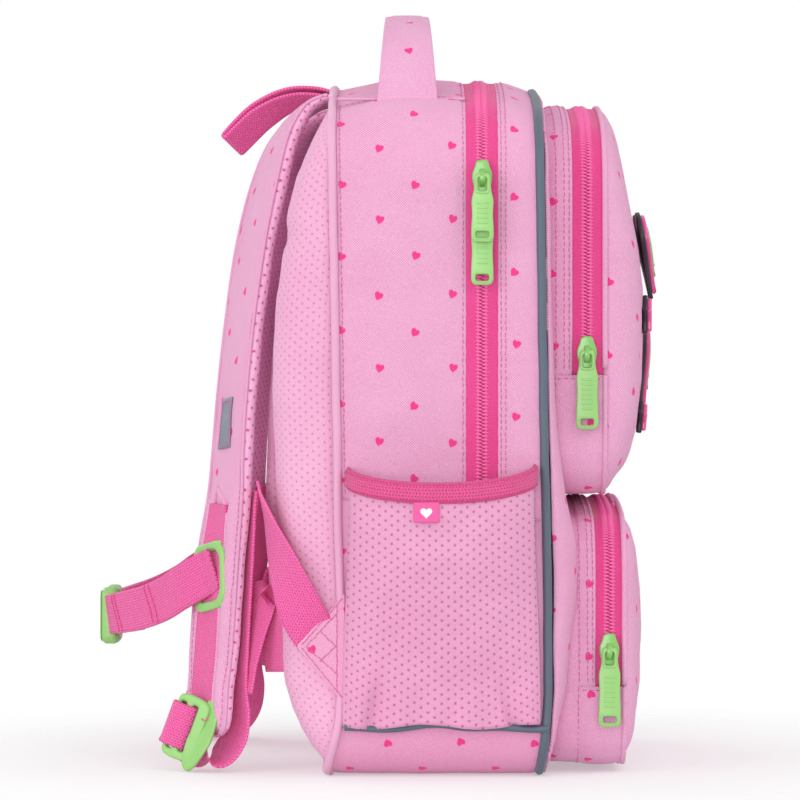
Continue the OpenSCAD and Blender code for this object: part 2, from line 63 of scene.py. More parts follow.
SIDE_LOW, SIDE_HIGH = node_box("side_panel_left")
HALF_W = -SIDE_LOW[0]
BAND_TOP = SIDE_LOW[2]
HALF_D = SIDE_HIGH[1]
SEAM_Z = SIDE_HIGH[2]
ZIP_Y = 0.5 * (node_box("main_zip_tape_rear")[1][1] + node_box("main_zip_tape_front")[0][1])
ZIP_HALF = 8.0
ZIP_END = node_box("main_zip_tape_rear")[0][2]
POCKET_HALF = -node_box("upper_pocket_gusset")[0][0]
FACE_Y = node_box("lower_pocket_cover")[0][1]
UP_SLOT = node_box("upper_zip_tape_rear")[0][1] - 0.8
LOW_SLOT = node_box("lower_zip_tape_rear")[0][1] - 0.8
UP_END = node_box("upper_pocket_front")[1][2]
LOW_END = node_box("lower_pocket_front")[1][2]
SHOULDER_Z = 318.0
FOLD_Z = 148.0
POCKET_TOP = node_box("pocket_binding_left")[1][2]


# ---------------------------------------------------------------- small maths
def unit(v):
    v = np.asarray(v, float)
    return v / max(np.linalg.norm(v), 1e-9)


def arc_lengths(path):
    """Distance along a polyline at each of its points."""
    return np.concatenate([[0], np.cumsum(np.linalg.norm(np.diff(path, axis=0), axis=1))])


def tangents(path):
    """Unit directions along a polyline."""
    along = np.gradient(path, axis=0)
    return along / np.linalg.norm(along, axis=1)[:, None]


def square_to(raw, along):
    """Unit vectors: raw directions with their part along the path taken out."""
    across = raw - (raw * along).sum(1)[:, None] * along
    return across / np.linalg.norm(across, axis=1)[:, None]


def side_name(side):
    return "right" if side > 0 else "left"


def values_at(y, z):
    """A depth for each height: y is a number, or a function of z."""
    return y(z) if callable(y) else np.full(len(z), float(y))


def smooth_step(a, b, x):
    t = np.clip((np.asarray(x, float) - a) / (b - a), 0.0, 1.0)
    return t * t * (3 - 2 * t)


def table(rows):
    """A function of z through [z, value] rows."""
    rows = sorted(rows)
    zs = [r[0] for r in rows]
    vs = [r[1] for r in rows]
    return lambda z: np.interp(z, zs, vs)


def crinkle(p, size, octaves=3):
    return noise.fractal(Vector(p) / size, 0.9, 2.0, octaves)


def spline(rows, k):
    """Catmull-Rom rows between rows of numbers, k steps each."""
    rows = [np.array(r, float) for r in rows]
    n = len(rows)
    out = []
    for i in range(n - 1):
        a, b, c, d = rows[max(i - 1, 0)], rows[i], rows[i + 1], rows[min(i + 2, n - 1)]
        for j in range(k):
            t = j / k
            out.append(0.5 * (2 * b + (c - a) * t + (2 * a - 5 * b + 4 * c - d) * t * t
                              + (3 * b - a - 3 * c + d) * t ** 3))
    out.append(rows[-1])
    return np.array(out)


def resample(points, step):
    """Points at an even step along a polyline, with their distances."""
    points = np.asarray(points, float)
    dist = arc_lengths(points)
    n = max(int(round(dist[-1] / step)), 2)
    s = np.linspace(0, dist[-1], n + 1)
    return np.stack([np.interp(s, dist, points[:, c]) for c in range(points.shape[1])], 1), s


class Outline:
    """An arched outline in the XZ plane, from the middle of its base round by +X."""

    def __init__(self, w, base, shoulder, top_r, base_r, turn):
        half = w / 2
        xe = half - top_r + top_r * math.cos(turn)
        ze = shoulder + top_r * math.sin(turn)
        crown_r = xe / math.cos(turn)
        crown_z = ze - crown_r * math.sin(turn)
        arcs = [
            (half - base_r, base + base_r, base_r, -math.pi / 2, 0),
            (half - top_r, shoulder, top_r, 0, turn),
            (0, crown_z, crown_r, turn, math.pi / 2),
        ]
        right = [(0.0, float(base))]
        for cx, cz, r, a0, a1 in arcs:
            for a in np.linspace(a0, a1, 40):
                right.append((cx + r * math.cos(a), cz + r * math.sin(a)))
        left = [(-x, z) for x, z in reversed(right[:-1])]
        self.points, self.s = resample(right + left, 0.5)
        self.length = self.s[-1]
        tangent = tangents(self.points)
        self.normals = np.stack([tangent[:, 1], -tangent[:, 0]], 1)
        self.middle_z = 0.5 * (base + shoulder)
        self.centre = np.array([0.0, self.middle_z])
        self.straight = 0.5 * (shoulder - base) - base_r

    def at(self, s):
        s = np.mod(s, self.length)
        p = np.stack([np.interp(s, self.s, self.points[:, c]) for c in (0, 1)], -1)
        n = np.stack([np.interp(s, self.s, self.normals[:, c]) for c in (0, 1)], -1)
        n /= np.linalg.norm(n, axis=-1, keepdims=True)
        return p, n

    def start_above(self, z):
        """Distance from the middle of the base to where the right side reaches z."""
        half = self.points[: len(self.points) // 2]
        return float(self.s[np.argmax(half[:, 1] >= z)])


BODY = Outline(2 * HALF_W, 0, SHOULDER_Z, 45, 28, math.radians(72))
UPPER = Outline(2 * POCKET_HALF, 150.5, 310, 42, 24, math.radians(72))
LOWER = Outline(2 * POCKET_HALF, 4.6, 102, 36, 24, math.radians(80))

rear_y = table([(0, 60), (12, 57), (28, 53), (45, 51.5), (80, 51.5), (150, 53.5), (250, 55), (340, 56.5),
                (380, 57)])
front_y = table([(0, -54), (20, -57), (45, -58.5), (110, -58), (200, -56), (300, -54.5), (380, -53.5)])


# ---------------------------------------------------------------- mesh building
def link(name, data):
    """A new object in the scene, from a mesh, a curve, a light or a camera."""
    obj = bpy.data.objects.new(name, data)
    bpy.context.scene.collection.objects.link(obj)
    return obj


def vertex_array(mesh, key="co"):
    values = np.empty(len(mesh.vertices) * 3, np.float32)
    mesh.vertices.foreach_get(key, values)
    return values.reshape(-1, 3)


def new_object(name, verts, faces, uvs, materials, face_mats=None, smooth=True):
    """A mesh from verts in millimetres, with uvs per vertex or per face corner; materials are keys of MAT."""
    mesh = bpy.data.meshes.new(name)
    mesh.from_pydata((np.asarray(verts, float) * MM).tolist(), [], [list(map(int, f)) for f in faces])
    if uvs is not None:
        layer = mesh.uv_layers.new(name="UVMap")
        uvs = np.asarray(uvs, float) * MM
        corner = np.empty(len(mesh.loops), np.int32)
        mesh.loops.foreach_get("vertex_index", corner)
        values = uvs if len(uvs) == len(corner) and len(uvs) != len(verts) else uvs[corner]
        layer.data.foreach_set("uv", np.ascontiguousarray(values, np.float32).ravel())
    for key in materials:
        mesh.materials.append(MAT[key])
    if face_mats is not None:
        mesh.polygons.foreach_set("material_index", np.asarray(face_mats, np.int32))
    mesh.polygons.foreach_set("use_smooth", np.full(len(mesh.polygons), smooth))
    mesh.update()
    return link(name, mesh)


def grid(name, points, uv, materials, close_rows=False, close_cols=False, caps=False, flip=False,
         col_mats=None):
    """A quad sheet from an (n, m) grid of points; a closed direction wraps round."""
    n, m = points.shape[:2]
    rows = n if close_rows else n - 1
    cols = m if close_cols else m - 1
    faces, corners, mats = [], [], []
    for i in range(rows):
        for j in range(cols):
            quad = [(i, j), (i, j + 1), (i + 1, j + 1), (i + 1, j)]
            if flip:
                quad.reverse()
            faces.append([(a % n) * m + b % m for a, b in quad])
            for a, b in quad:
                corners.append(uv[min(a, uv.shape[0] - 1), min(b, uv.shape[1] - 1)])
            mats.append(col_mats[j] if col_mats else 0)
    ends = {False: (), True: (0, n - 1), "last": (n - 1,)}[caps]
    for i in ends:
        ring = [i * m + j for j in range(m)]
        if (i == 0) != flip:
            ring.reverse()
        faces.append(ring)
        for v in ring:
            corners.append(uv[i, v % m])
        mats.append(0)
    return new_object(name, points.reshape(-1, 3), faces, corners, materials, mats)


def bake(obj, *modifiers):
    """Adds modifiers given as (type, {settings}) and applies them to the mesh."""
    for kind, settings in modifiers:
        mod = obj.modifiers.new(kind.lower(), kind)
        for key, value in settings.items():
            setattr(mod, key, value)
    graph = bpy.context.evaluated_depsgraph_get()
    mesh = bpy.data.meshes.new_from_object(obj.evaluated_get(graph))
    obj.modifiers.clear()
    obj.data = mesh
    mesh.polygons.foreach_set("use_smooth", np.full(len(mesh.polygons), True))
    return obj


def solid(obj, thickness, inside=-1.0):
    return bake(obj, ("SOLIDIFY", dict(thickness=thickness * MM, offset=inside, use_quality_normals=True)))


def place(obj, body, slot, *nodes):
    """Puts a piece on the body it rides and hides the CAD nodes it stands for. slot, its material slot, is
    not used.
    """
    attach(obj, body)
    if nodes:
        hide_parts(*nodes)
    return obj


def tube(name, path, radius, materials, sides=10, closed=False, caps=True):
    """A round tube along a path of points in millimetres."""
    path = np.asarray(path, float)
    n = len(path)
    if closed:
        tangent = np.roll(path, -1, 0) - np.roll(path, 1, 0)
        tangent /= np.linalg.norm(tangent, axis=1)[:, None]
    else:
        tangent = tangents(path)
    side = np.cross(tangent, [0.0, 1.0, 0.0])
    weak = np.linalg.norm(side, axis=1) < 0.3
    side[weak] = np.cross(tangent[weak], [1.0, 0.0, 0.0])
    side /= np.linalg.norm(side, axis=1)[:, None]
    other = np.cross(tangent, side)
    angles = np.linspace(0, 2 * math.pi, sides, endpoint=False)
    radius = np.broadcast_to(np.asarray(radius, float), (n,))
    points = (path[:, None] + radius[:, None, None] * (np.cos(angles)[None, :, None] * side[:, None]
              + np.sin(angles)[None, :, None] * other[:, None]))
    dist = arc_lengths(path)
    last = dist[-1] + np.linalg.norm(path[0] - path[-1])
    dist = np.append(dist, last) if closed else dist
    turn = np.linspace(0, 2 * math.pi * float(radius[0]), sides + 1)
    uv = np.stack(np.meshgrid(dist, turn, indexing="ij"), -1)
    return grid(name, points, uv, materials, close_rows=closed, close_cols=True, caps=caps and not closed)


def laid(width, *points):
    """Ribbon rows of one width through some points."""
    return [tuple(p) + (width, 0) for p in points]


def ribbon(name, rows, thickness, materials, lay=None, k=6):
    """Webbing along rows of [x, y, z, width, turn]. Its width swings by the turn from +X towards +Y,
    or lies along lay: one direction, or one for each row."""
    count = len(rows)
    rows = spline(rows, k)
    path = rows[:, :3]
    tangent = tangents(path)
    if lay is None:
        turn = np.radians(rows[:, 4])
        raw = np.stack([np.cos(turn), np.sin(turn), np.zeros(len(rows))], 1)
    elif np.ndim(lay) == 2:
        where = np.linspace(0, count - 1, len(rows))
        raw = np.stack([np.interp(where, np.arange(count), np.array(lay)[:, c]) for c in range(3)], 1)
    else:
        raw = np.tile(np.asarray(lay, float), (len(rows), 1))
    across = square_to(raw, tangent)
    out = np.cross(tangent, across)
    dist = arc_lengths(path)
    h = thickness / 2
    edge = 0.7
    columns = [(u, 1.0, 0.0) for u in np.linspace(-1, 1, 13)]
    columns += [(1, 0.0, edge)]
    columns += [(u, -1.0, 0.0) for u in np.linspace(1, -1, 13)]
    columns += [(-1, 0.0, -edge)]
    points, uv = [], []
    for i in range(len(rows)):
        half = rows[i, 3] / 2
        ring, ring_uv = [], []
        for u, side, extra in columns:
            sag = 0.35 * crinkle((u * half, dist[i], 11.0 + half), 22.0, 2)
            ring.append(path[i] + across[i] * (u * (half - edge) + extra) + out[i] * (side * h + sag))
            ring_uv.append((u * half, dist[i]))
        points.append(ring)
        uv.append(ring_uv + [ring_uv[0]])
    return grid(name, np.array(points), np.array(uv), materials, close_cols=True, caps=True)


STITCHES = {}
SURFACES = {}


def rod_faces(rings, sides):
    """Faces of a rod whose verts are given ring by ring, with closed ends."""
    faces = []
    for i in range(rings - 1):
        for j in range(sides):
            a, b = i * sides + j, i * sides + (j + 1) % sides
            faces.append((a, b, b + sides, a + sides))
    faces.append(tuple(range(sides))[::-1])
    faces.append(tuple((rings - 1) * sides + j for j in range(sides)))
    return faces


def capsule(length, radius, sides=6, rings=4):
    """Verts and faces of a small rounded bar along X."""
    verts = []
    for i in range(rings):
        t = i / (rings - 1)
        x = (t - 0.5) * length
        r = radius * (0.45 if i in (0, rings - 1) else 1.0)
        for j in range(sides):
            a = 2 * math.pi * j / sides
            verts.append((x, r * math.cos(a), r * math.sin(a)))
    return np.array(verts), rod_faces(rings, sides)


def scatter(store, key, template, places):
    """Adds copies of a template mesh; each place is (origin, x axis, z axis)."""
    verts, faces = template
    bucket = store.setdefault(key, [[], [], 0])
    for origin, ax, az in places:
        ax = unit(ax)
        ay = unit(np.cross(az, ax))
        az = np.cross(ax, ay)
        bucket[0].append(verts @ np.stack([ax, ay, az]) + origin)
        bucket[1].extend([tuple(v + bucket[2] for v in f) for f in faces])
        bucket[2] += len(verts)


STITCH_LONG, STITCH_STEP, THREAD = 2.5, 3.3, 0.33
STITCH = capsule(STITCH_LONG, THREAD)


def stitch_line(path, normals, body, colour="thread", lift=0.12, step=STITCH_STEP, wobble=0.15):
    """A row of thread stitches along a path on a surface."""
    path = np.asarray(path, float)
    both, _ = resample(np.hstack([path, np.asarray(normals, float)]), step)
    places = []
    for i in range(len(both) - 1):
        a, b = both[i], both[i + 1]
        shift = wobble * math.sin(i * 2.4)
        direction = b[:3] - a[:3]
        side = unit(np.cross(a[3:], direction))
        places.append((0.5 * (a[:3] + b[:3]) + unit(a[3:]) * lift + side * shift, direction, a[3:]))
    scatter(STITCHES, (body, colour), STITCH, places)


# ---------------------------------------------------------------- sewing onto finished surfaces
def face_outwards(obj, hint):
    """Turns the faces so that they look along hint: a direction, or an Outline to look away from."""
    total = 0.0
    for poly in obj.data.polygons:
        if isinstance(hint, Outline):
            c = poly.center / MM
            away = Vector((c.x, 0, c.z - hint.middle_z))
            if abs(c.z - hint.middle_z) < hint.straight:
                away = Vector((c.x, 0, 0))
            total += poly.area * poly.normal.dot(away.normalized())
        else:
            total += poly.area * poly.normal.dot(Vector(hint))
    if total < 0:
        obj.data.flip_normals()
    return obj


def surface_of(*objects):
    """Search trees over finished meshes, for sewing things onto them."""
    trees = []
    for obj in objects:
        bm = bmesh.new()
        bm.from_mesh(obj.data)
        trees.append(BVHTree.FromBMesh(bm))
        bm.free()
    return trees


def land(trees, point, normal, reach=9.0):
    """Where a point comes down on the nearest surface along its normal, and the normal there."""
    origin = Vector(point) * MM
    away = Vector(normal).normalized()
    best = None
    for tree in trees:
        hit = tree.ray_cast(origin + away * reach * MM, -away, 2 * reach * MM)
        if hit[0] is not None and (best is None or hit[3] < best[3]):
            best = hit
    if best is None:
        return None
    facing = best[1] if best[1].dot(away) > 0 else -best[1]
    return np.array(best[0]) / MM, np.array(facing)


def sew(trees, path, normals, body, colour="thread", step=STITCH_STEP, wobble=0.15, lift=0.1):
    """A row of thread stitches laid on real surfaces."""
    both, _ = resample(np.hstack([np.asarray(path, float), np.asarray(normals, float)]), step)
    marks = [land(trees, row[:3], row[3:]) for row in both]
    places = []
    for i in range(len(marks) - 1):
        a, b = marks[i], marks[i + 1]
        if a is None or b is None or np.linalg.norm(b[0] - a[0]) > 2 * step:
            continue
        direction = b[0] - a[0]
        side = unit(np.cross(a[1], direction))
        shift = wobble * math.sin(i * 2.4)
        places.append((0.5 * (a[0] + b[0]) + unit(a[1] + b[1]) * lift + side * shift, direction, a[1] + b[1]))
    scatter(STITCHES, (body, colour), STITCH, places)


def box_uv(obj):
    """Flat coordinates chosen by the way each face looks."""
    mesh = obj.data
    layer = mesh.uv_layers.new(name="UVMap")
    for poly in mesh.polygons:
        n = poly.normal
        pair = (1, 2) if abs(n.x) > max(abs(n.y), abs(n.z)) else (0, 2) if abs(n.y) > abs(n.z) else (0, 1)
        for loop in poly.loop_indices:
            co = mesh.vertices[mesh.loops[loop].vertex_index].co
            layer.data[loop].uv = (co[pair[0]], co[pair[1]])


# ---------------------------------------------------------------- materials
def lin(r, g, b, a=1.0):
    def f(c):
        c /= 255.0
        return c / 12.92 if c <= 0.04045 else ((c + 0.055) / 1.055) ** 2.4
    return (f(r), f(g), f(b), a)


def tinted(base, factors):
    """A colour with each channel scaled, up to full."""
    return tuple(min(c * k, 1.0) for c, k in zip(base[:3], factors)) + (1.0,)


class Tree:
    """Short calls for building a material's nodes."""

    def __init__(self, name):
        self.mat = bpy.data.materials.new(name)
        self.mat.use_nodes = True
        self.tree = self.mat.node_tree
        self.shader = self.tree.nodes["Principled BSDF"]

    def add(self, kind, ins=(), out=0, **props):
        node = self.tree.nodes.new("ShaderNode" + kind)
        for key, value in props.items():
            setattr(node, key, value)
        items = ins.items() if isinstance(ins, dict) else enumerate(ins)
        for key, value in items:
            if value is None:
                continue
            if isinstance(value, bpy.types.NodeSocket):
                self.tree.links.new(value, node.inputs[key])
            else:
                node.inputs[key].default_value = value
        return node.outputs[out]

    def math(self, op, a, b=None, c=None, clamp=False):
        return self.add("Math", (a, b, c), operation=op, use_clamp=clamp)

    def mix(self, factor, a, b):
        node = self.tree.nodes.new("ShaderNodeMix")
        node.data_type = "RGBA"
        for key, value in ((0, factor), (6, a), (7, b)):
            if isinstance(value, bpy.types.NodeSocket):
                self.tree.links.new(value, node.inputs[key])
            else:
                node.inputs[key].default_value = value
        return node.outputs[2]

    def coords(self, plane):
        """U and V in metres: from the UV map, or from two object axes."""
        if plane == "uv":
            vector = self.add("UVMap", uv_map="UVMap")
        else:
            vector = self.add("TexCoord", out=3)
        node = self.tree.nodes.new("ShaderNodeSeparateXYZ")
        self.tree.links.new(vector, node.inputs[0])
        first, second = {"uv": (0, 1), "xz": (0, 2), "yz": (1, 2), "xy": (0, 1)}[plane]
        return node.outputs[first], node.outputs[second]

    def wave(self, value, pitch, phase=0.0):
        """Sine of a length in metres, with its pitch in millimetres."""
        return self.math("SINE", self.math("MULTIPLY_ADD", value, 2 * math.pi / (pitch * MM), phase))

    def cloud(self, scale, detail=2.0, seed=0.0):
        vector = self.add("TexCoord", out=3)
        shifted = self.add("VectorMath", (vector, (seed, seed * 1.7, seed * 0.4)), operation="ADD")
        return self.add("TexNoise", {"Vector": shifted, "Scale": scale, "Detail": detail},
                        noise_dimensions="3D")

    def put(self, **sockets):
        for key, value in sockets.items():
            socket = self.shader.inputs[key.replace("_", " ")]
            if isinstance(value, bpy.types.NodeSocket):
                self.tree.links.new(value, socket)
            else:
                socket.default_value = value

    def bump(self, height, strength, distance):
        normal = self.add("Bump", {"Height": height, "Strength": strength, "Distance": distance})
        self.tree.links.new(normal, self.shader.inputs["Normal"])


def hearts(tree, u, v, pitch=39.0, half=2.45):
    """Mask of small hearts on a staggered lattice, each moved and turned a little differently."""
    masks = []
    for shift in (0.0, 0.5):
        inside, cells = [], []
        for axis in (u, v):
            scaled = tree.math("MULTIPLY_ADD", axis, 1 / (pitch * MM), shift + 0.25)
            cell = tree.math("FLOOR", scaled)
            cells.append(cell)
            inside.append(tree.math("SUBTRACT", tree.math("SUBTRACT", scaled, cell), 0.5))
        key = tree.add("CombineXYZ", (cells[0], cells[1], shift * 7))
        white = tree.add("TexWhiteNoise", {"Vector": key}, noise_dimensions="3D")
        other = tree.add("TexWhiteNoise", {"Vector": key}, noise_dimensions="3D", out=1)
        apart = tree.tree.nodes.new("ShaderNodeSeparateXYZ")
        tree.tree.links.new(other, apart.inputs[0])
        for i in (0, 1):
            inside[i] = tree.math("ADD", inside[i], tree.math("MULTIPLY_ADD", apart.outputs[i], 0.05, -0.025))
        angle = tree.math("MULTIPLY_ADD", white, 0.55, 0.2)
        cos, sin = tree.math("COSINE", angle), tree.math("SINE", angle)
        k = pitch / half
        x = tree.math("SUBTRACT", tree.math("MULTIPLY", inside[0], cos),
                      tree.math("MULTIPLY", inside[1], sin))
        y = tree.math("ADD", tree.math("MULTIPLY", inside[0], sin), tree.math("MULTIPLY", inside[1], cos))
        x = tree.math("MULTIPLY", x, k)
        y = tree.math("MULTIPLY_ADD", y, k * 1.12, 0.12)
        root = tree.math("SQRT", tree.math("ABSOLUTE", x))
        lobe = tree.math("SUBTRACT", y, tree.math("MULTIPLY", root, 0.72))
        f = tree.math("ADD", tree.math("MULTIPLY", x, x), tree.math("MULTIPLY", lobe, lobe))
        masks.append(tree.math("MULTIPLY", tree.math("SUBTRACT", 1.0, f), 4.0, clamp=True))
    return tree.math("MAXIMUM", masks[0], masks[1])


def weave_height(tree, u, v, pitch=1.35):
    """Fine twill: diagonal ribs crossed by threads."""
    diagonal = tree.wave(tree.math("ADD", u, v), pitch)
    cross = tree.wave(tree.math("SUBTRACT", u, v), pitch * 0.71)
    return tree.math("MULTIPLY_ADD", diagonal, 0.6, tree.math("MULTIPLY", cross, 0.4))


def print_fabric(name, base, heart=lin(240, 46, 136), plane="uv"):
    """Printed polyester: diagonal twill, flecked yarn and scattered hearts."""
    t = Tree(name)
    u, v = t.coords(plane)
    weave = weave_height(t, u, v)
    fleck = t.cloud(1500.0, 1.0, 2.0)
    blotch = t.cloud(24.0, 4.0)
    tone = t.math("MULTIPLY_ADD", weave, 0.62, t.math("MULTIPLY_ADD", fleck, 0.9, -0.12))
    tone = t.math("MULTIPLY_ADD", blotch, 0.3, t.math("ADD", tone, -0.15), clamp=True)
    low = tinted(base, (0.82, 0.56, 0.68))
    high = tinted(base, (1.08, 1.3, 1.19))
    cloth_tone = t.mix(tone, low, high)
    mask = hearts(t, u, v)
    worn = t.math("MULTIPLY", mask, t.math("MULTIPLY_ADD", weave, 0.08, 0.92))
    t.put(Base_Color=t.mix(worn, cloth_tone, heart), Roughness=0.88, Sheen_Weight=0.12, Sheen_Roughness=0.4,
          Specular_IOR_Level=0.22)
    t.bump(t.math("MULTIPLY_ADD", fleck, 0.7, weave), 0.5, 0.00025)
    return t.mat


def dotted_mesh(name, base, dot, pitch=7.2, squeeze=0.69, radius=0.65, depth=0.8, plane="uv"):
    """Knitted spacer mesh with a staggered lattice of small holes, each with a soft dent round it."""
    t = Tree(name)
    u, v = t.coords(plane)
    rings = []
    for shift in (0.0, 0.5):
        parts = []
        for axis, part in ((u, 1.0), (v, squeeze)):
            scaled = t.math("MULTIPLY_ADD", axis, 1 / (pitch * part * MM), shift)
            parts.append(t.math("MULTIPLY", t.math("SUBTRACT", t.math("FRACT", scaled), 0.5), part * pitch))
        rings.append(t.math("ADD", t.math("MULTIPLY", parts[0], parts[0]),
                            t.math("MULTIPLY", parts[1], parts[1])))
    near = t.math("SQRT", t.math("MINIMUM", rings[0], rings[1]))
    # each hole takes the dot colour: painted shade inside the hole
    hole = t.math("MULTIPLY_ADD", near, -2.2 / radius, 2.6, clamp=True)
    dent = t.math("MULTIPLY_ADD", near, -0.55 / radius, 1.0, clamp=True)
    knit = t.math("MULTIPLY", t.wave(u, 1.2), t.wave(v, 0.95))
    fleck = t.cloud(1300.0, 1.0, 4.0)
    blotch = t.cloud(20.0, 3.0)
    low = tinted(base, (0.88, 0.66, 0.78))
    high = tinted(base, (1.05, 1.18, 1.1))
    tone = t.math("MULTIPLY_ADD", knit, 0.2, t.math("MULTIPLY_ADD", fleck, 0.8, -0.1))
    # the dent round each hole is a real bump; its darker tone here is painted shade
    tone = t.math("MULTIPLY_ADD", dent, -0.35, t.math("MULTIPLY_ADD", blotch, 0.45, tone), clamp=True)
    cloth_tone = t.mix(tone, low, high)
    t.put(Base_Color=t.mix(t.math("MULTIPLY", hole, depth), cloth_tone, dot), Roughness=0.92,
          Sheen_Weight=0.15,
          Sheen_Roughness=0.5, Specular_IOR_Level=0.18)
    t.bump(t.math("MULTIPLY_ADD", knit, 0.18, t.math("MULTIPLY", dent, -1.0)), 0.8, 0.0006)
    return t.mat


def webbing(name, base, rib=1.5):
    """Ribbed webbing: cords along it, crossed by a slanting weft."""
    t = Tree(name)
    u, v = t.coords("uv")
    cord = t.math("ABSOLUTE", t.wave(u, rib * 2))
    slant = t.math("PINGPONG", u, rib * MM)
    weft = t.wave(t.math("ADD", v, slant), 1.7)
    height = t.math("MULTIPLY_ADD", cord, 0.6, t.math("MULTIPLY", weft, 0.42))
    fleck = t.cloud(1200.0, 1.0, 6.0)
    tone = t.math("MULTIPLY_ADD", height, 0.62, t.math("MULTIPLY_ADD", fleck, 0.7, -0.08), clamp=True)
    low = tinted(base, (0.72, 0.18, 0.42))
    high = tinted(base, (1.06, 1.18, 1.08))
    t.put(Base_Color=t.mix(tone, low, high), Roughness=0.6, Sheen_Weight=0.15, Specular_IOR_Level=0.35)
    t.bump(height, 0.9, 0.00045)
    return t.mat


def zip_tape(name, base):
    """Woven zip tape with a fine slanting rib."""
    t = Tree(name)
    u, v = t.coords("uv")
    slant = t.math("PINGPONG", u, 1.6 * MM)
    rib = t.wave(t.math("ADD", v, slant), 1.1)
    fleck = t.math("MULTIPLY_ADD", t.cloud(1300.0, 1.0, 5.0), 0.9, -0.2)
    tone = t.math("MULTIPLY_ADD", rib, 0.4, t.math("MULTIPLY_ADD", t.cloud(60.0), 0.3, fleck), clamp=True)
    low = tinted(base, (0.78, 0.36, 0.58))
    t.put(Base_Color=t.mix(tone, low, base), Roughness=0.75, Sheen_Weight=0.2, Specular_IOR_Level=0.3)
    t.bump(rib, 0.4, 0.0002)
    return t.mat


def plastic(name, base, roughness=0.38, coat=0.0, grain=0.25, glow=0.0):
    """Moulded plastic with a fine grain and uneven gloss."""
    t = Tree(name)
    tone = t.cloud(70.0, 4.0)
    low = tinted(base, (0.88,) * 3)
    rough = t.math("MULTIPLY_ADD", t.cloud(160.0, 3.0, 5.0), 0.16, roughness - 0.08)
    t.put(Base_Color=t.mix(tone, low, base), Roughness=rough, Specular_IOR_Level=0.5, Coat_Weight=coat,
          Coat_Roughness=0.2)
    if glow:
        t.put(Subsurface_Weight=glow, Subsurface_Radius=(0.002, 0.002, 0.001), Subsurface_Scale=1.0)
    t.bump(t.cloud(1400.0, 2.0), grain, 0.00008)
    return t.mat


def cloth(name, base, pitch=0.8, roughness=0.8, sheen=0.2, strength=0.35, spark=0.0, plane="uv"):
    """Plain woven cloth."""
    t = Tree(name)
    u, v = t.coords(plane)
    weave = t.math("MULTIPLY", t.wave(u, pitch), t.wave(v, pitch))
    tone = t.math("MULTIPLY_ADD", weave, 0.25, t.math("MULTIPLY_ADD", t.cloud(35.0, 3.0), 0.6, 0.2),
                  clamp=True)
    low = tinted(base, (0.78,) * 3)
    t.put(Base_Color=t.mix(tone, low, base), Roughness=roughness, Sheen_Weight=sheen, Specular_IOR_Level=0.3,
          Metallic=spark)
    t.bump(weave, strength, 0.0002)
    return t.mat


MAT = {
    "print": print_fabric("print_fabric", lin(239, 181, 215)),
    "print_flat": print_fabric("print_fabric_yz", lin(243, 180, 214), plane="yz"),
    # a darker copy of the print: painted shade for the base band
    "print_shaded": print_fabric("print_fabric_shaded", lin(240, 172, 208)),
    "handle": print_fabric("print_fabric_strap", lin(238, 180, 215)),
    # the second colour of each mesh is the painted shade in its holes
    "pocket_mesh": dotted_mesh("pocket_mesh", lin(232, 166, 202), lin(196, 84, 146)),
    "back_mesh": dotted_mesh("back_mesh", lin(238, 178, 211), lin(206, 112, 164), 6.4, 0.72, 0.5, 0.5),
    "strap_mesh": dotted_mesh("strap_mesh", lin(255, 200, 234), lin(222, 80, 150), 6.0, 1.0, 0.72, 0.9),
    "tape": zip_tape("zip_tape", lin(240, 88, 160)),
    "coil": plastic("zip_coil", lin(244, 104, 170), 0.35, grain=0.1),
    "webbing": webbing("webbing", lin(255, 114, 188)),
    "binding": webbing("binding", lin(232, 96, 160), rib=0.9),
    "thread": plastic("thread", lin(216, 116, 170), 0.7),
    "thread_hot": plastic("thread_hot", lin(214, 62, 132), 0.7),
    "piping_grey": cloth("piping_grey", lin(100, 112, 128), 0.7, 0.42, 0.1, 0.3, 0.25),
    "piping_pink": cloth("piping_pink", lin(240, 178, 212), 0.7, 0.7, 0.3),
    "reflective": cloth("reflective", lin(140, 150, 164), 0.6, 0.35, 0.0, 0.25, 0.35),
    "green": plastic("green_plastic", lin(152, 208, 120), 0.34, grain=0.2, glow=0.08),
    "slider": plastic("slider_enamel", lin(132, 196, 98), 0.26, coat=0.4, grain=0.05),
    "stiffener": plastic("stiffener", lin(232, 232, 232), 0.5),
    "sleeve": cloth("sleeve_fabric", lin(206, 206, 214), 0.9, plane="xz"),
    "lining": cloth("lining", lin(226, 190, 208), 0.7),
    "badge_edge": plastic("badge_edge", lin(32, 26, 34), 0.4, coat=0.2),
    "badge_face": plastic("badge_face", lin(240, 80, 158), 0.25, coat=0.6),
    "badge_green": plastic("badge_green", lin(128, 206, 104), 0.25, coat=0.6),
    "tag": cloth("tag_fabric", lin(240, 96, 166), 0.6, 0.6),
    "white": plastic("white_print", lin(250, 246, 248), 0.5),
}


# ---------------------------------------------------------------- hoops of fabric round an outline
SINK_FRONT, SINK_BACK = 6.5, 4.0
SEAM_TURN = 2.2


def settle(y, z):
    """How far the top of the bag sinks towards its front and back seams."""
    front = SINK_FRONT * smooth_step(27, 53, -y)
    back = SINK_BACK * smooth_step(22, 53, y)
    return (front + back) * smooth_step(300, 366, z)


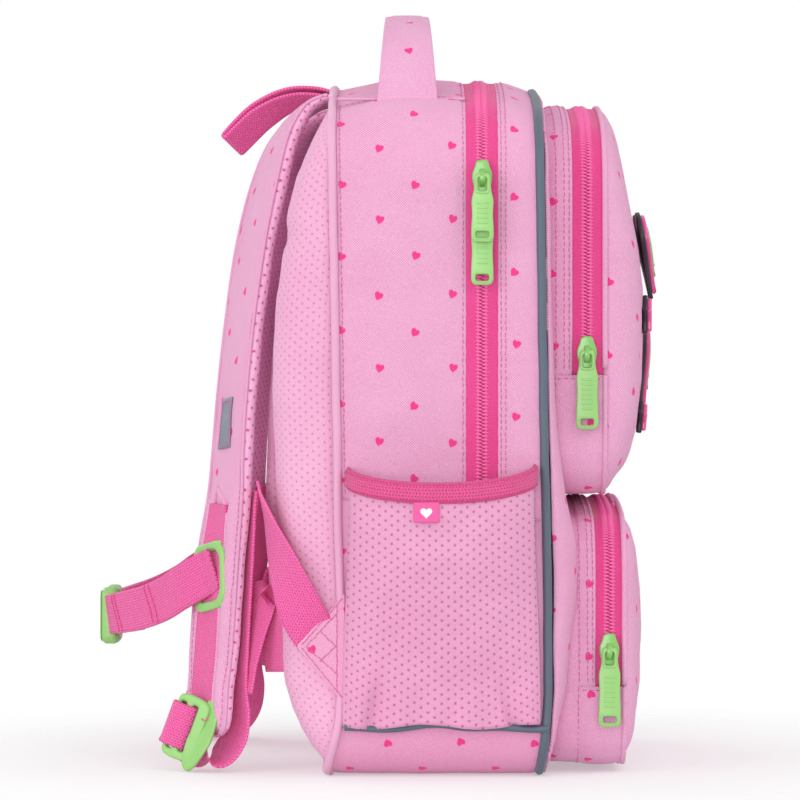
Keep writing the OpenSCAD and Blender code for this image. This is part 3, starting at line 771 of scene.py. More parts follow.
def hoop(name, outline, s_range, y_edges, materials, puff=1.5, fold=1.0, step=2.6, pucker=0.0, rough=0.9,
         closed=False, inset=0.0, thickness=2.0, shift=(0.0, 0.0)):
    """A strip of fabric round an outline between two depth edges, its sewn edges turned in."""
    s0, s1 = s_range
    n = max(int((s1 - s0) / step), 8)
    s = np.linspace(s0, s1, n + 1)
    if closed:
        s = s[:-1]
    p, normal = outline.at(s)
    ya, yb = y_edges
    ya, yb = values_at(ya, p[:, 1]), values_at(yb, p[:, 1])
    depth = float(np.mean(np.abs(yb - ya)))
    edge = min(SEAM_TURN / depth, 0.2)
    inner = np.linspace(edge, 1 - edge, max(int(depth / 2.8), 4))
    v = np.concatenate([[0, edge * 0.25, edge * 0.6], inner, [1 - edge * 0.6, 1 - edge * 0.25, 1]])
    points = np.zeros((len(s), len(v), 3))
    uv = np.zeros((len(s) + (1 if closed else 0), len(v), 2))
    for i in range(len(s)):
        run = min(s[i], outline.length - s[i])
        for j, t in enumerate(v):
            y = ya[i] + (yb[i] - ya[i]) * t
            near = min(t, 1 - t) * depth
            lift = puff * math.sin(math.pi * t) ** 0.7 - fold * (1 - min(near / 1.6, 1.0)) ** 2
            lift += rough * crinkle((p[i, 0], y, p[i, 1]), 38.0) * min(near / 6.0, 1.0)
            wave = math.sin(s[i] * 0.62 + 2.5 * crinkle((s[i], t * 9, 3.0), 30.0, 2))
            lift += pucker * wave * math.exp(-near / 4.5) * min(near / 1.2, 1.0)
            # the thread pulls a shallow line just inside each sewn edge
            lift -= 0.45 * math.exp(-(((near - SEAM_TURN) / 0.9) ** 2))
            off = lift - inset
            points[i, j] = (p[i, 0] + normal[i, 0] * off, y, p[i, 1] + normal[i, 1] * off)
            if outline is BODY:
                points[i, j, 2] -= settle(y, points[i, j, 2])
            uv[i, j] = (shift[0] - y, shift[1] + run)
    if closed:
        uv[-1] = uv[0]
    obj = grid(name, points, uv, materials, close_rows=closed)
    face_outwards(obj, outline)
    return solid(obj, thickness)


def hoop_path(outline, s, y, lift):
    """Points and normals along an outline at one depth, lifted off it."""
    p, n = outline.at(s)
    ys = values_at(y, p[:, 1])
    points = np.stack([p[:, 0] + n[:, 0] * lift, ys, p[:, 1] + n[:, 1] * lift], 1)
    if outline is BODY:
        points[:, 2] -= settle(points[:, 1], points[:, 2])
    return points, np.stack([n[:, 0], np.zeros(len(s)), n[:, 1]], 1)


def hoop_stitches(trees, outline, s_range, y, body, **kw):
    """A stitch row round an outline at one depth."""
    s = np.arange(s_range[0], s_range[1], 3.0)
    points, normals = hoop_path(outline, s, y, 0.0)
    sew(trees, points, normals, body, **kw)


# stitch rows lie this far inside a sewn edge
SEAM_IN = 2.1
S_BAND = BODY.start_above(BAND_TOP)
S_ZIP = BODY.start_above(ZIP_END)
S_SEAM = BODY.start_above(SEAM_Z)
S_FOLD = BODY.start_above(FOLD_Z)
LENGTH = BODY.length


def mirrored(s_range):
    return LENGTH - s_range[1], LENGTH - s_range[0]


# where the printed hearts fall on the side walls and on the front gusset
WALL_SHIFT = (4.45, -9.75 - BODY.start_above(314.0))
GUSSET_SHIFT = (-9.65, -9.75 - BODY.start_above(268.0))


def build_main_walls():
    """Side walls, crown, base band and the opening gusset, with their seams and stitch rows."""
    zip_back, zip_front = ZIP_Y + ZIP_HALF, ZIP_Y - ZIP_HALF
    for side, node in ((1, "right"), (-1, "left")):
        upper = (S_ZIP, S_SEAM) if side > 0 else mirrored((S_ZIP, S_SEAM))
        lower = (S_BAND, S_ZIP) if side > 0 else mirrored((S_BAND, S_ZIP))
        wall = hoop("side_wall_" + node, BODY, upper, (zip_back, rear_y), ["print"], puff=2.6, pucker=0.35,
                    shift=WALL_SHIFT)
        place(wall, "pack", "print_fabric", "side_panel_" + node)
        foot = hoop("side_foot_" + node, BODY, lower, (front_y, rear_y), ["print"], puff=2.0, fold=0.5,
                    shift=WALL_SHIFT)
        place(foot, "pack", "print_fabric", "side_panel_" + node)
        trees = surface_of(wall)
        hoop_stitches(trees, BODY, upper, zip_back + SEAM_IN, "pack")
        hoop_stitches(trees, BODY, upper, lambda z: rear_y(z) - 2.4, "pack")
    crown = (S_SEAM, LENGTH - S_SEAM)
    wall = hoop("crown_wall", BODY, crown, (zip_back, rear_y), ["print"], puff=2.0, pucker=0.35)
    place(wall, "pack", "print_fabric", "top_panel")
    trees = surface_of(wall)
    hoop_stitches(trees, BODY, crown, zip_back + SEAM_IN, "pack")
    for edge in (S_SEAM, LENGTH - S_SEAM):
        p, n = BODY.at(np.array([edge]))
        ys = np.linspace(zip_back + 0.5, rear_y(SEAM_Z) - 1, 30)
        ridge = [(p[0, 0] + n[0, 0] * (1.4 + 1.2 * math.sin(math.pi * k / 29)), y, p[0, 1] + n[0, 1] * 1.0)
                 for k, y in enumerate(ys)]
        side = "right" if edge == S_SEAM else "left"
        place(tube("shoulder_seam_" + side, ridge, 0.9, ["print"], sides=8), "pack", "print_fabric")
        p, n = BODY.at(np.array([edge + (3.0 if side == "right" else -3.0)]))
        line = [(p[0, 0], y, p[0, 1]) for y in ys]
        sew(trees, line, [(n[0, 0], 0, n[0, 1])] * len(ys), "pack")
    # the base band takes the darker copy of the print, as painted shade
    band = hoop("base_wall", BODY, (-S_BAND, S_BAND), (front_y, rear_y), ["print_shaded"], puff=0.3, fold=0.3,
                rough=0.4)
    place(band, "pack", "print_fabric", "base_band")
    gusset = hoop("front_gusset_wall", BODY, (S_FOLD - 12, LENGTH - S_FOLD + 12), (front_y, zip_front),
                  ["print"],
                  puff=1.8, pucker=0.4, shift=GUSSET_SHIFT)
    place(gusset, "front_flap", "print_fabric", "front_gusset")
    trees = surface_of(gusset)
    for y in (zip_front - SEAM_IN, zip_front - SEAM_IN - 2.5):
        hoop_stitches(trees, BODY, (S_FOLD, LENGTH - S_FOLD), y, "front_flap")
    hoop_stitches(trees, BODY, (S_FOLD, LENGTH - S_FOLD), lambda z: front_y(z) + 2.2, "front_flap")


def piping_path(y, s_range, lift, drop=0.0, step=4.0):
    """A slightly uneven cord path round the body, held above the floor."""
    s = np.arange(s_range[0], s_range[1], step)
    points, _ = hoop_path(BODY, s, y, lift)
    for p in points:
        p[0] += 0.25 * crinkle(p, 30.0, 2)
        p[1] += 0.35 * crinkle(p + 50.0, 30.0, 2) + drop
        p[2] = max(p[2], 2.2)
    return points


def build_piping():
    """Pink cord round the back, grey cord round the front and along the base band."""
    rear = tube("rear_piping_cord", piping_path(rear_y, (0, LENGTH), 0.4, 1.6), 2.3, ["piping_pink"],
                closed=True)
    place(rear, "pack", "piping_pink", "rear_piping")
    front = tube("front_piping_cord", piping_path(front_y, (0, LENGTH), 0.9, 2.0), 2.5, ["piping_grey"],
                 closed=True)
    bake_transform(front)
    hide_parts("front_piping_lower", "front_piping_upper")
    # grey piping where the base band meets the walls
    for side in (1, -1):
        ys = np.linspace(-HALF_D - 3, HALF_D - 2.5, 50)
        rise = 2.0 * np.exp(-((ys / 14) ** 2)) + 0.5 * np.sin(ys * 0.16)
        path = [(side * (HALF_W + 2.6), y, BAND_TOP - 1.9 + r) for y, r in zip(ys, rise)]
        base = tube("base_piping_" + side_name(side), path, 1.9, ["piping_grey"])
        place(base, "pack", "piping_grey")


# ---------------------------------------------------------------- faces: rings that close in the middle
def face(name, outline, depth_at, materials, rim=22.0, rings=9, inner=22, step=3.4, thickness=2.5,
         front=True):
    """A padded face inside an outline. depth_at(x, z, inset) gives y; inset is the distance from the rim."""
    n = int(outline.length / step)
    s = np.linspace(0, outline.length, n, endpoint=False)
    p, normal = outline.at(s)
    rows = []
    insets = rim * (1 - np.cos(np.linspace(0, math.pi / 2, rings)))
    last = p - normal * rim
    span = np.linalg.norm(last - outline.centre, axis=1)
    for d in insets:
        rows.append((p - normal * d, np.full(n, d)))
    for k in np.linspace(1, 0.02, inner)[1:]:
        rows.append((outline.centre + (last - outline.centre) * k, rim + span * (1 - k)))
    points = []
    for ring, inset in rows:
        y = [depth_at(ring[i, 0], ring[i, 1], inset[i]) for i in range(n)]
        points.append(np.stack([ring[:, 0], y, ring[:, 1]], 1))
    points = np.array(points)
    if outline is BODY:
        points[:, :, 2] -= settle(points[:, :, 1], points[:, :, 2])
    # flat cloth coordinates: true inside the rim, unrolled outwards along the surface
    base = rings - 1
    uv = np.zeros(points.shape[:2] + (2,))
    uv[base:] = points[base:][:, :, [0, 2]]
    for i in range(base - 1, -1, -1):
        gap = np.linalg.norm(points[i] - points[i + 1], axis=1)
        uv[i] = uv[i + 1] + normal * gap[:, None]
    uv = np.concatenate([uv, uv[:, :1]], 1)
    obj = grid(name, points, uv, materials, close_cols=True, caps="last")
    face_outwards(obj, (0, -1, 0) if front else (0, 1, 0))
    return solid(obj, thickness)


def rounded(inset, radius, power=2.2):
    """0 at the rim, 1 past the radius, with a full round between."""
    t = min(max(inset / radius, 0.0), 1.0)
    return (1 - (1 - t) ** power) ** (1 / power)


def build_front_face():
    swell = table([(0, 1), (24, 3), (45, 7), (75, 10.5), (100, 13), (125, 13), (150, 8), (175, 5),
                   (200, 3.5), (250, 2.5), (350, 1.5), (380, 1)])

    def depth(x, z, inset):
        return front_y(z) - 1.6 - swell(z) * rounded(inset, 24, 2.0) - 0.6 * crinkle((x, 0, z), 40.0)

    obj = face("front_face", BODY, depth, ["print"])
    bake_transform(obj)
    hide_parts("front_panel_lower", "front_panel_upper")


BACK_BASE = table([(0, 58), (4, 62), (14, 69), (25, 75), (35, 79.5), (50, 83.5), (100, 86), (150, 88),
                   (200, 90), (227, 90), (250, 88.5), (276, 85.5), (300, 82), (320, 77.5), (340, 70.5),
                   (360, 63), (374, 57)])


# how deep the back shell is sunk under the foam pads, and the groove between them
PAD_DIP = 6.0
GROOVE_Z, GROOVE_DEEP = 287, 3.5


def build_back():
    def depth(x, z, inset):
        y = rear_y(z) + 1.0
        full = BACK_BASE(z) - y
        groove = GROOVE_DEEP * math.exp(-(((z - GROOVE_Z) / 4.5) ** 2)) * (1 if abs(x) < 112 else 0.6)
        quilt = 1.4 * math.exp(-(((abs(x) - 128) / 3.0) ** 2)) if z > 60 else 0.0
        soft = rounded(inset, 22, 2.4)
        # the shell is sunk where the foam pads lie on it
        under = (1 - smooth_step(102, 116, abs(x))) * smooth_step(16, 32, z) * (1 - smooth_step(340, 356, z))
        return y + full * soft - (groove + quilt + PAD_DIP * under) * soft + 0.7 * crinkle((x, 9, z), 30.0)

    obj = face("back_shell", BODY, depth, ["back_mesh"], front=False)
    place(obj, "pack", "back_mesh", "back_panel")


VOXEL = 0.0055
SWELL_FRAMES = 16


def swell_pad(name, node, body, slot, cap, shrink, pressure):
    """Foam pad from a CAD solid: voxel remesh, a short pressure simulation, then a capped swell."""
    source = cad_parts[node]
    mesh = source.data.copy()
    mesh.materials.clear()
    obj = link(name, mesh)
    bake(obj, ("REMESH", dict(mode="VOXEL", voxel_size=VOXEL)))
    for _ in range(3):
        relax(obj, 0.5)
    normals = vertex_array(obj.data, "normal")
    start = vertex_array(obj.data) - normals * shrink * MM
    obj.data.vertices.foreach_set("co", start.ravel())
    mod = obj.modifiers.new("cloth", "CLOTH")
    settings = mod.settings
    settings.use_pressure = True
    settings.uniform_pressure_force = pressure
    settings.mass = 0.3
    settings.tension_stiffness = 25
    settings.compression_stiffness = 25
    settings.bending_stiffness = 2.0
    settings.effector_weights.gravity = 0.0
    mod.point_cache.frame_start = 1
    mod.point_cache.frame_end = SWELL_FRAMES
    for f in range(1, SWELL_FRAMES + 1):
        bpy.context.scene.frame_set(f)
    graph = bpy.context.evaluated_depsgraph_get()
    moved = vertex_array(obj.evaluated_get(graph).data)
    obj.modifiers.clear()
    bpy.context.scene.frame_set(1)
    shift = moved - start
    length = np.linalg.norm(shift, axis=1, keepdims=True)
    scale = np.minimum(1.0, cap * MM / np.maximum(length, 1e-9))
    obj.data.vertices.foreach_set("co", (start + shift * scale).astype(np.float32).ravel())
    obj.data.update()
    bake(obj, ("SUBSURF", dict(levels=1, render_levels=1)))
    obj.data.materials.clear()
    obj.data.materials.append(MAT[slot])
    box_uv(obj)
    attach(obj, body)
    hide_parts(node)
    return obj


def relax(obj, factor):
    bm = bmesh.new()
    bm.from_mesh(obj.data)
    bmesh.ops.smooth_vert(bm, verts=bm.verts, factor=factor, use_axis_x=True, use_axis_y=True,
                          use_axis_z=True)
    bm.to_mesh(obj.data)
    bm.free()


def build_pads():
    """The pressed foam pads of the back."""
    for node in ("upper_back_pads", "lower_back_pads"):
        obj = swell_pad(node + "_foam", node, "pack", "back_mesh", 5.0, 3.0, 4.0)


# ---------------------------------------------------------------- zips
TEETH = {}
TOOTH_PITCH = 1.9


def tooth_shape():
    """One half-loop of the coil: a bent bar across the zip, from its middle (y = 0) outwards."""
    verts = []
    sides, rings = 7, 6
    for i in range(rings):
        t = i / (rings - 1)
        y = -0.35 + 3.9 * t
        z = 0.55 * math.sin(math.pi * min(t * 1.15, 1.0)) - 0.25
        x = 0.42 * (t - 0.4)
        r = 0.72 * (0.55 if i == 0 else 0.5 if i == rings - 1 else 1.0)
        for j in range(sides):
            a = 2 * math.pi * j / sides
            verts.append((x + r * 0.95 * math.cos(a), y, z + r * math.sin(a)))
    return np.array(verts), [f[::-1] for f in rod_faces(rings, sides)]


TOOTH = tooth_shape()
TOOTH_BACK = (TOOTH[0] * np.array([-1, -1, 1]), TOOTH[1])


def zip_half(name, outline, s_range, y_in, y_out, body, nodes):
    """One tape, from the slot outwards, with its row of teeth."""
    sign = 1 if y_out > y_in else -1
    s = np.linspace(s_range[0], s_range[1], int((s_range[1] - s_range[0]) / 3.0))
    p, n = outline.at(s)
    wide = abs(y_out - y_in)
    across = np.array([0.0, 1.2, 3.4, 4.2, wide * 0.75, wide + 1.5])
    lift = np.array([-0.9, -0.6, -0.5, -0.9, -1.1, -1.3])
    points = np.zeros((len(s), len(across), 3))
    uv = np.zeros((len(s), len(across), 2))
    for j in range(len(across)):
        raised = p + n * lift[j]
        y = np.full(len(s), y_in + sign * (across[j] + 0.4))
        points[:, j] = np.stack([raised[:, 0], y, raised[:, 1]], 1)
        uv[:, j] = np.stack([np.full(len(s), across[j]), s], 1)
    tape = grid(name, points, uv, ["tape"], flip=sign > 0)
    solid(tape, 0.9)
    place(tape, body, "zip_tape", *nodes)
    count = int((s_range[1] - s_range[0] - 2) / TOOTH_PITCH)
    marks = s_range[0] + 1 + TOOTH_PITCH * (np.arange(count) + (0.5 if sign > 0 else 0.0))
    q, m = outline.at(marks)
    q2, _ = outline.at(marks + 0.5)
    places = []
    for i in range(count):
        along = np.array([q2[i, 0] - q[i, 0], 0, q2[i, 1] - q[i, 1]])
        origin = np.array([q[i, 0] + m[i, 0] * 0.55, y_in, q[i, 1] + m[i, 1] * 0.55])
        places.append((origin, along, (m[i, 0], 0, m[i, 1])))
    # the template's y axis is cross(normal, along): -Y here, so the sides swap
    scatter(TEETH, body, TOOTH if sign > 0 else TOOTH_BACK, places)
    cord = tube(name + "_cord", hoop_path(outline, s, y_in + sign * 2.1, 0.45)[0], 0.55, ["coil"], sides=6)
    place(cord, body, "zip_coil")


def build_zips():
    main = (S_ZIP, LENGTH - S_ZIP)
    zip_half("main_zip_back", BODY, main, ZIP_Y, ZIP_Y + ZIP_HALF, "pack", ["main_zip_tape_rear"])
    zip_half("main_zip_front", BODY, main, ZIP_Y, ZIP_Y - ZIP_HALF, "front_flap", ["main_zip_tape_front"])
    s = UPPER.start_above(UP_END)
    top = (s, UPPER.length - s)
    zip_half("upper_zip_back", UPPER, top, UP_SLOT, UP_SLOT + 7.5, "front_flap", ["upper_zip_tape_rear"])
    zip_half("upper_zip_front", UPPER, top, UP_SLOT, UP_SLOT - 8.6, "upper_cover", ["upper_zip_tape_front"])
    s = LOWER.start_above(LOW_END)
    low = (s, LOWER.length - s)
    zip_half("lower_zip_back", LOWER, low, LOW_SLOT, LOW_SLOT + 7.0, "pack", ["lower_zip_tape_rear"])
    zip_half("lower_zip_front", LOWER, low, LOW_SLOT, LOW_SLOT - 7.0, "lower_cover", ["lower_zip_tape_front"])


# ---------------------------------------------------------------- front pockets
def pocket(prefix, outline, slot_y, back_half, front_half, end_z, body, cover, gusset_nodes, face_nodes,
           dome):
    """Gusset, face and zip-end tabs of one pocket."""
    s_end = outline.start_above(end_z)
    open_range = (s_end, outline.length - s_end)
    seam = slot_y - front_half - 0.6
    back = -HALF_D - 2.0
    tape_edge = slot_y + back_half
    whole = (0, outline.length)
    gusset = hoop(prefix + "_gusset", outline, whole, (tape_edge, back), ["print"], puff=0.8, pucker=0.6,
                  closed=True, rough=0.9, shift=(8.5, 0))
    place(gusset, body, "print_fabric", *gusset_nodes)
    # the sewn channel next to the zip: a second fold of cloth that puckers between its rows
    band = hoop(prefix + "_gusset_band", outline, open_range, (tape_edge, tape_edge + 10.5), ["print"],
                puff=0.5,
                pucker=0.5, inset=-0.9, rough=0.5, thickness=1.2, shift=(8.5, 0))
    place(band, body, "print_fabric", *gusset_nodes)
    low_range = (-s_end, s_end)
    tab = hoop(prefix + "_gusset_foot", outline, low_range, (seam, tape_edge + 11), ["print"], puff=0.8,
               pucker=0.4, inset=-0.9, rough=0.8, shift=(8.5, 0))
    place(tab, body, "print_fabric", *gusset_nodes)
    obj = face(prefix + "_face", outline, dome(seam), ["print"], rim=13.0, rings=9, inner=26)
    SURFACES[prefix] = surface_of(obj)
    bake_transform(obj)
    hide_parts(*face_nodes)
    # rolled seam round the face
    s = np.arange(s_end, outline.length - s_end, 4.0)
    rim_path, _ = hoop_path(outline, s, seam - 0.6, 0.2)
    rim = tube(prefix + "_face_rim", rim_path, 1.5, ["print"], sides=10)
    place(rim, cover, "print_fabric")
    s = np.arange(-s_end, s_end, 4.0)
    rim_path, _ = hoop_path(outline, s, seam - 0.6, 0.6)
    place(tube(prefix + "_foot_rim", rim_path, 1.4, ["print"], sides=10), body, "print_fabric")
    trees = surface_of(gusset, band)
    for y in (tape_edge + 1.8, tape_edge + 4.6, tape_edge + 9.0):
        hoop_stitches(trees, outline, open_range, y, body)
    trees = surface_of(tab)
    hoop_stitches(trees, outline, low_range, tape_edge + 9.4, body)
    for edge in (s_end - 1.8, outline.length - s_end + 1.8):
        p, n = outline.at(np.array([edge]))
        ys = np.arange(seam + 1.5, tape_edge + 10.5, 3.0)
        sew(trees, [(p[0, 0], y, p[0, 1]) for y in ys], [(n[0, 0], 0, n[0, 1])] * len(ys), body)


upper_line = table([(150, -93), (156, -98), (162, -103), (172, -107), (184, -109.8), (211, -113),
                    (240, -113.8), (262, -113.8), (282, -111.8), (310, -106), (330, -102), (350, -97.5),
                    (364, -94.5)])
lower_line = table([(4, -96), (10, -101), (20, -106), (32, -110), (46, -112), (75, -112.6), (98, -111.8),
                    (119, -109.5), (130, -105.5), (141, -99), (147, -94)])


def dome_for(line, radius):
    """Depth function of a pocket face that follows a profile over its height."""
    def make(seam):
        def depth(x, z, inset):
            full = line(z) + 0.6 - seam
            lean = 6.5 * smooth_step(30, 118, abs(x)) * smooth_step(4, 16, abs(full))
            side = 1.0 - lean / max(abs(full), 1.0)
            flat = rounded(inset, radius, 2.3)
            return seam + full * flat * side - 0.45 * crinkle((x, 4, z), 34.0) * flat
        return depth
    return make


def build_pockets():
    pocket("upper_pocket", UPPER, UP_SLOT, 7.5, 8.6, UP_END, "front_flap", "upper_cover",
           ["upper_pocket_gusset"], ["upper_pocket_front", "upper_pocket_cover"], dome_for(upper_line, 20))
    pocket("lower_pocket", LOWER, LOW_SLOT, 7.0, 7.0, LOW_END, "pack", "lower_cover",
           ["lower_pocket_gusset"], ["lower_pocket_front", "lower_pocket_cover"], dome_for(lower_line, 18))


# ---------------------------------------------------------------- moulded parts
def plate(name, outer, holes, thickness, bevel, material, matrix, warp=None, detail=0):
    """A flat moulding with rounded edges, from an outline and holes in its own XY plane."""
    curve = bpy.data.curves.new(name, "CURVE")
    curve.dimensions = "2D"
    curve.fill_mode = "BOTH"
    curve.extrude = (thickness / 2 - bevel) * MM
    curve.bevel_depth = bevel * MM
    curve.bevel_resolution = 3
    curve.offset = -bevel * MM
    for loop in [outer] + list(holes):
        line = curve.splines.new("POLY")
        line.points.add(len(loop) - 1)
        for point, (x, y) in zip(line.points, loop):
            point.co = (x * MM, y * MM, 0, 1)
        line.use_cyclic_u = True
    temp = link(name + "_curve", curve)
    graph = bpy.context.evaluated_depsgraph_get()
    mesh = bpy.data.meshes.new_from_object(temp.evaluated_get(graph))
    bpy.data.objects.remove(temp)
    bm = bmesh.new()
    bm.from_mesh(mesh)
    bmesh.ops.remove_doubles(bm, verts=bm.verts, dist=0.00001)
    if detail:
        for _ in range(detail):
            long_edges = [e for e in bm.edges if e.calc_length() > 2.2 * MM]
            bmesh.ops.subdivide_edges(bm, edges=long_edges, cuts=1, use_grid_fill=True)
        bmesh.ops.triangulate(bm, faces=[f for f in bm.faces if len(f.verts) > 4])
    if warp:
        for v in bm.verts:
            v.co = Vector(warp(*(c / MM for c in v.co))) * MM
    bmesh.ops.transform(bm, matrix=matrix, verts=bm.verts)
    bmesh.ops.recalc_face_normals(bm, faces=bm.faces)
    bm.to_mesh(mesh)
    bm.free()
    mesh.materials.clear()
    mesh.materials.append(MAT[material])
    for poly in mesh.polygons:
        poly.use_smooth = True
    mesh.set_sharp_from_angle(angle=math.radians(50))
    return link(name, mesh)


def round_poly(points, radius, steps=5):
    """Rounds each corner of a polygon."""
    out = []
    n = len(points)
    for i in range(n):
        p0, p1, p2 = (np.array(points[(i + k) % n], float) for k in (-1, 0, 1))
        a, b = unit(p0 - p1), unit(p2 - p1)
        r = min(radius, 0.45 * np.linalg.norm(p0 - p1), 0.45 * np.linalg.norm(p2 - p1))
        start, end = p1 + a * r, p1 + b * r
        for t in np.linspace(0, 1, steps):
            out.append(tuple((1 - t) ** 2 * start + 2 * t * (1 - t) * p1 + t * t * end))
    return out


def rect(x0, x1, y0, y1):
    return [(x0, y0), (x1, y0), (x1, y1), (x0, y1)]


def pill(x0, x1, y0, y1, radius):
    """A rectangle with rounded corners."""
    return round_poly(rect(x0, x1, y0, y1), radius)


def heart_outline(width, steps=40):
    """The usual heart curve, scaled to a width."""
    out = []
    for i in range(steps):
        a = 2 * math.pi * i / steps
        x = 16 * math.sin(a) ** 3
        y = 13 * math.cos(a) - 5 * math.cos(2 * a) - 2 * math.cos(3 * a) - math.cos(4 * a)
        out.append((width / 33 * x, width / 33 * y))
    return out


def star_outline(radius, points=5, inner=0.55):
    """A star with softened points."""
    out = []
    for i in range(points * 2):
        a = math.pi / 2 + math.pi * i / points
        r = radius * (1 if i % 2 == 0 else inner)
        out.append((r * math.cos(a), r * math.sin(a)))
    return round_poly(out, radius * 0.22)


def axes(origin, ax, ay):
    """Matrix that puts a plate's X and Y along two directions at an origin in millimetres."""
    ax, ay = unit(ax), unit(ay)
    az = np.cross(ax, ay)
    m = Matrix.Identity(4)
    for c, axis in enumerate((ax, ay, az)):
        for r in range(3):
            m[r][c] = float(axis[r])
    for r in range(3):
        m[r][3] = float(origin[r]) * MM
    return m


def join(name, objects):
    """Joins objects into one mesh named name."""
    bm = bmesh.new()
    materials = []
    for obj in objects:
        for m in obj.data.materials:
            if m not in materials:
                materials.append(m)
    for obj in objects:
        start = len(bm.faces)
        own = list(obj.data.materials)
        bm.from_mesh(obj.data)
        bm.faces.ensure_lookup_table()
        for f in bm.faces[start:]:
            f.material_index = materials.index(own[min(f.material_index, len(own) - 1)])
    mesh = bpy.data.meshes.new(name)
    bm.to_mesh(mesh)
    bm.free()
    for m in materials:
        mesh.materials.append(m)
    mesh.set_sharp_from_angle(angle=math.radians(50))
    for obj in objects:
        bpy.data.objects.remove(obj)
    return link(name, mesh)


def slider(name, at, bail, body, nodes):
    """Zip slider on the left side: two plates, a bridge and the bar window for the pull."""
    at = np.array(at, float)
    out = np.array([-1.0, 0, 0])
    shape = [(-3.2, 8.4), (-1.2, 9.2), (1.2, 9.2), (3.2, 8.4), (4.0, 5.2), (5.3, 2.2), (5.3, -1.8),
             (4.3, -5.0), (4.1, -8.2), (-4.1, -8.2), (-4.3, -5.0), (-5.3, -1.8), (-5.3, 2.2), (-4.0, 5.2)]
    top = plate(name + "_top", round_poly(shape, 1.4), [], 2.4, 0.75, "slider",
                axes(at + out * 2.6, (0, -1, 0), (0, 0, 1)))
    low = plate(name + "_low", round_poly(shape, 1.4), [], 1.4, 0.5, "slider",
                axes(at - out * 3.9, (0, -1, 0), (0, 0, 1)))
    post = plate(name + "_post", pill(-1.6, 1.6, 3.4, 8.2, 1.0), [], 5.6, 0.5, "slider",
                 axes(at - out * 0.8, (0, -1, 0), (0, 0, 1)))
    height = bail + 2.0
    arch = [(-5.2, 2.9), (-4.0, height * 0.72), (-1.6, height), (1.4, height), (3.8, height * 0.72),
            (5.2, 2.9), (3.6, 2.9), (2.6, height * 0.6), (0.9, height - 1.7), (-1.3, height - 1.7),
            (-2.8, height * 0.6), (-3.6, 2.9)]
    bridge = plate(name + "_bridge", round_poly(arch, 1.2), [], 3.2, 0.8, "slider",
                   axes(at - np.array([0, 0, 0.5]), (0, 0, 1), out))
    obj = join(name + "_body", [top, low, post, bridge])
    place(obj, body, "slider_paint", *nodes)


def pull(name, at, bail, body, nodes, length=40.0):
    """Moulded pull tab: a ring round the bridge, a waisted grip with ridges, and an eye at its end."""
    at = np.array(at, float)
    pivot = at + np.array([-bail, 0, -0.5])
    end = -length + 1.0
    outline = [(-3.3, 2.2), (3.3, 2.2), (4.3, 0.2), (4.5, -7.0), (5.9, -12.0), (5.4, -20), (5.9, end + 8),
               (5.9, end + 2), (4.4, end - 0.2), (-4.4, end - 0.2), (-5.9, end + 2), (-5.9, end + 8),
               (-5.4, -20), (-5.9, -12.0), (-4.5, -7.0), (-4.3, 0.2)]
    neck = pill(-2.2, 2.2, -7.6, 0.2, 1.5)
    eye = pill(-3.5, 3.5, end + 2.0, end + 5.4, 1.2)
    matrix = axes(pivot, (0, 1, 0), (0, 0, 1))
    parts = [plate(name + "_tab", round_poly(outline, 2.6), [neck, eye], 2.2, 0.7, "green", matrix)]
    ring_out = pill(-3.9, 3.9, -8.8, 1.8, 2.4)
    parts.append(plate(name + "_ring", ring_out, [pill(-2.5, 2.5, -7.3, 0.0, 1.5)], 3.2, 0.7,
                       "green", matrix))
    rim = pill(-4.9, 4.9, end + 0.8, end + 6.8, 1.8)
    parts.append(plate(name + "_rim", rim, [pill(-3.7, 3.7, end + 1.9, end + 5.6, 1.2)], 2.9, 0.5,
                       "green", matrix))
    y = -13.5
    index = 0
    while y > end + 9.5:
        parts.append(plate(f"{name}_ridge_{index}", pill(-3.0, 3.0, y - 0.6, y + 0.6, 0.5), [], 2.9, 0.3,
                           "green", matrix))
        y -= 2.6
        index += 1
    obj = join(name + "_grip", parts)
    place(obj, body, "green_plastic", *nodes)


def build_sliders():
    """The four sliders and their pulls, on the left side."""
    for node, body, x, y, bail, length in (
        ("main_slider_upper", "main_slider_a", -HALF_W, ZIP_Y, 9.8, 35.0),
        ("main_slider_lower", "main_slider_b", -HALF_W, ZIP_Y, 5.2, 39.0),
        ("upper_pocket_slider", "upper_slider", -POCKET_HALF, UP_SLOT, 5.2, 41.0),
        ("lower_pocket_slider", "lower_slider", -POCKET_HALF, LOW_SLOT, 5.2, 41.0),
    ):
        low, high = node_box(node)
        z = 0.5 * (low[2] + high[2])
        slider(node, (x, y, z), bail, body, [node])
        pull_node = {"main_slider_upper": "main_pull_upper", "main_slider_lower": "main_pull_lower"}.get(
            node, node.replace("slider", "pull"))
        pull(pull_node, (x, y, z), bail, body.replace("slider", "pull"), [pull_node], length)


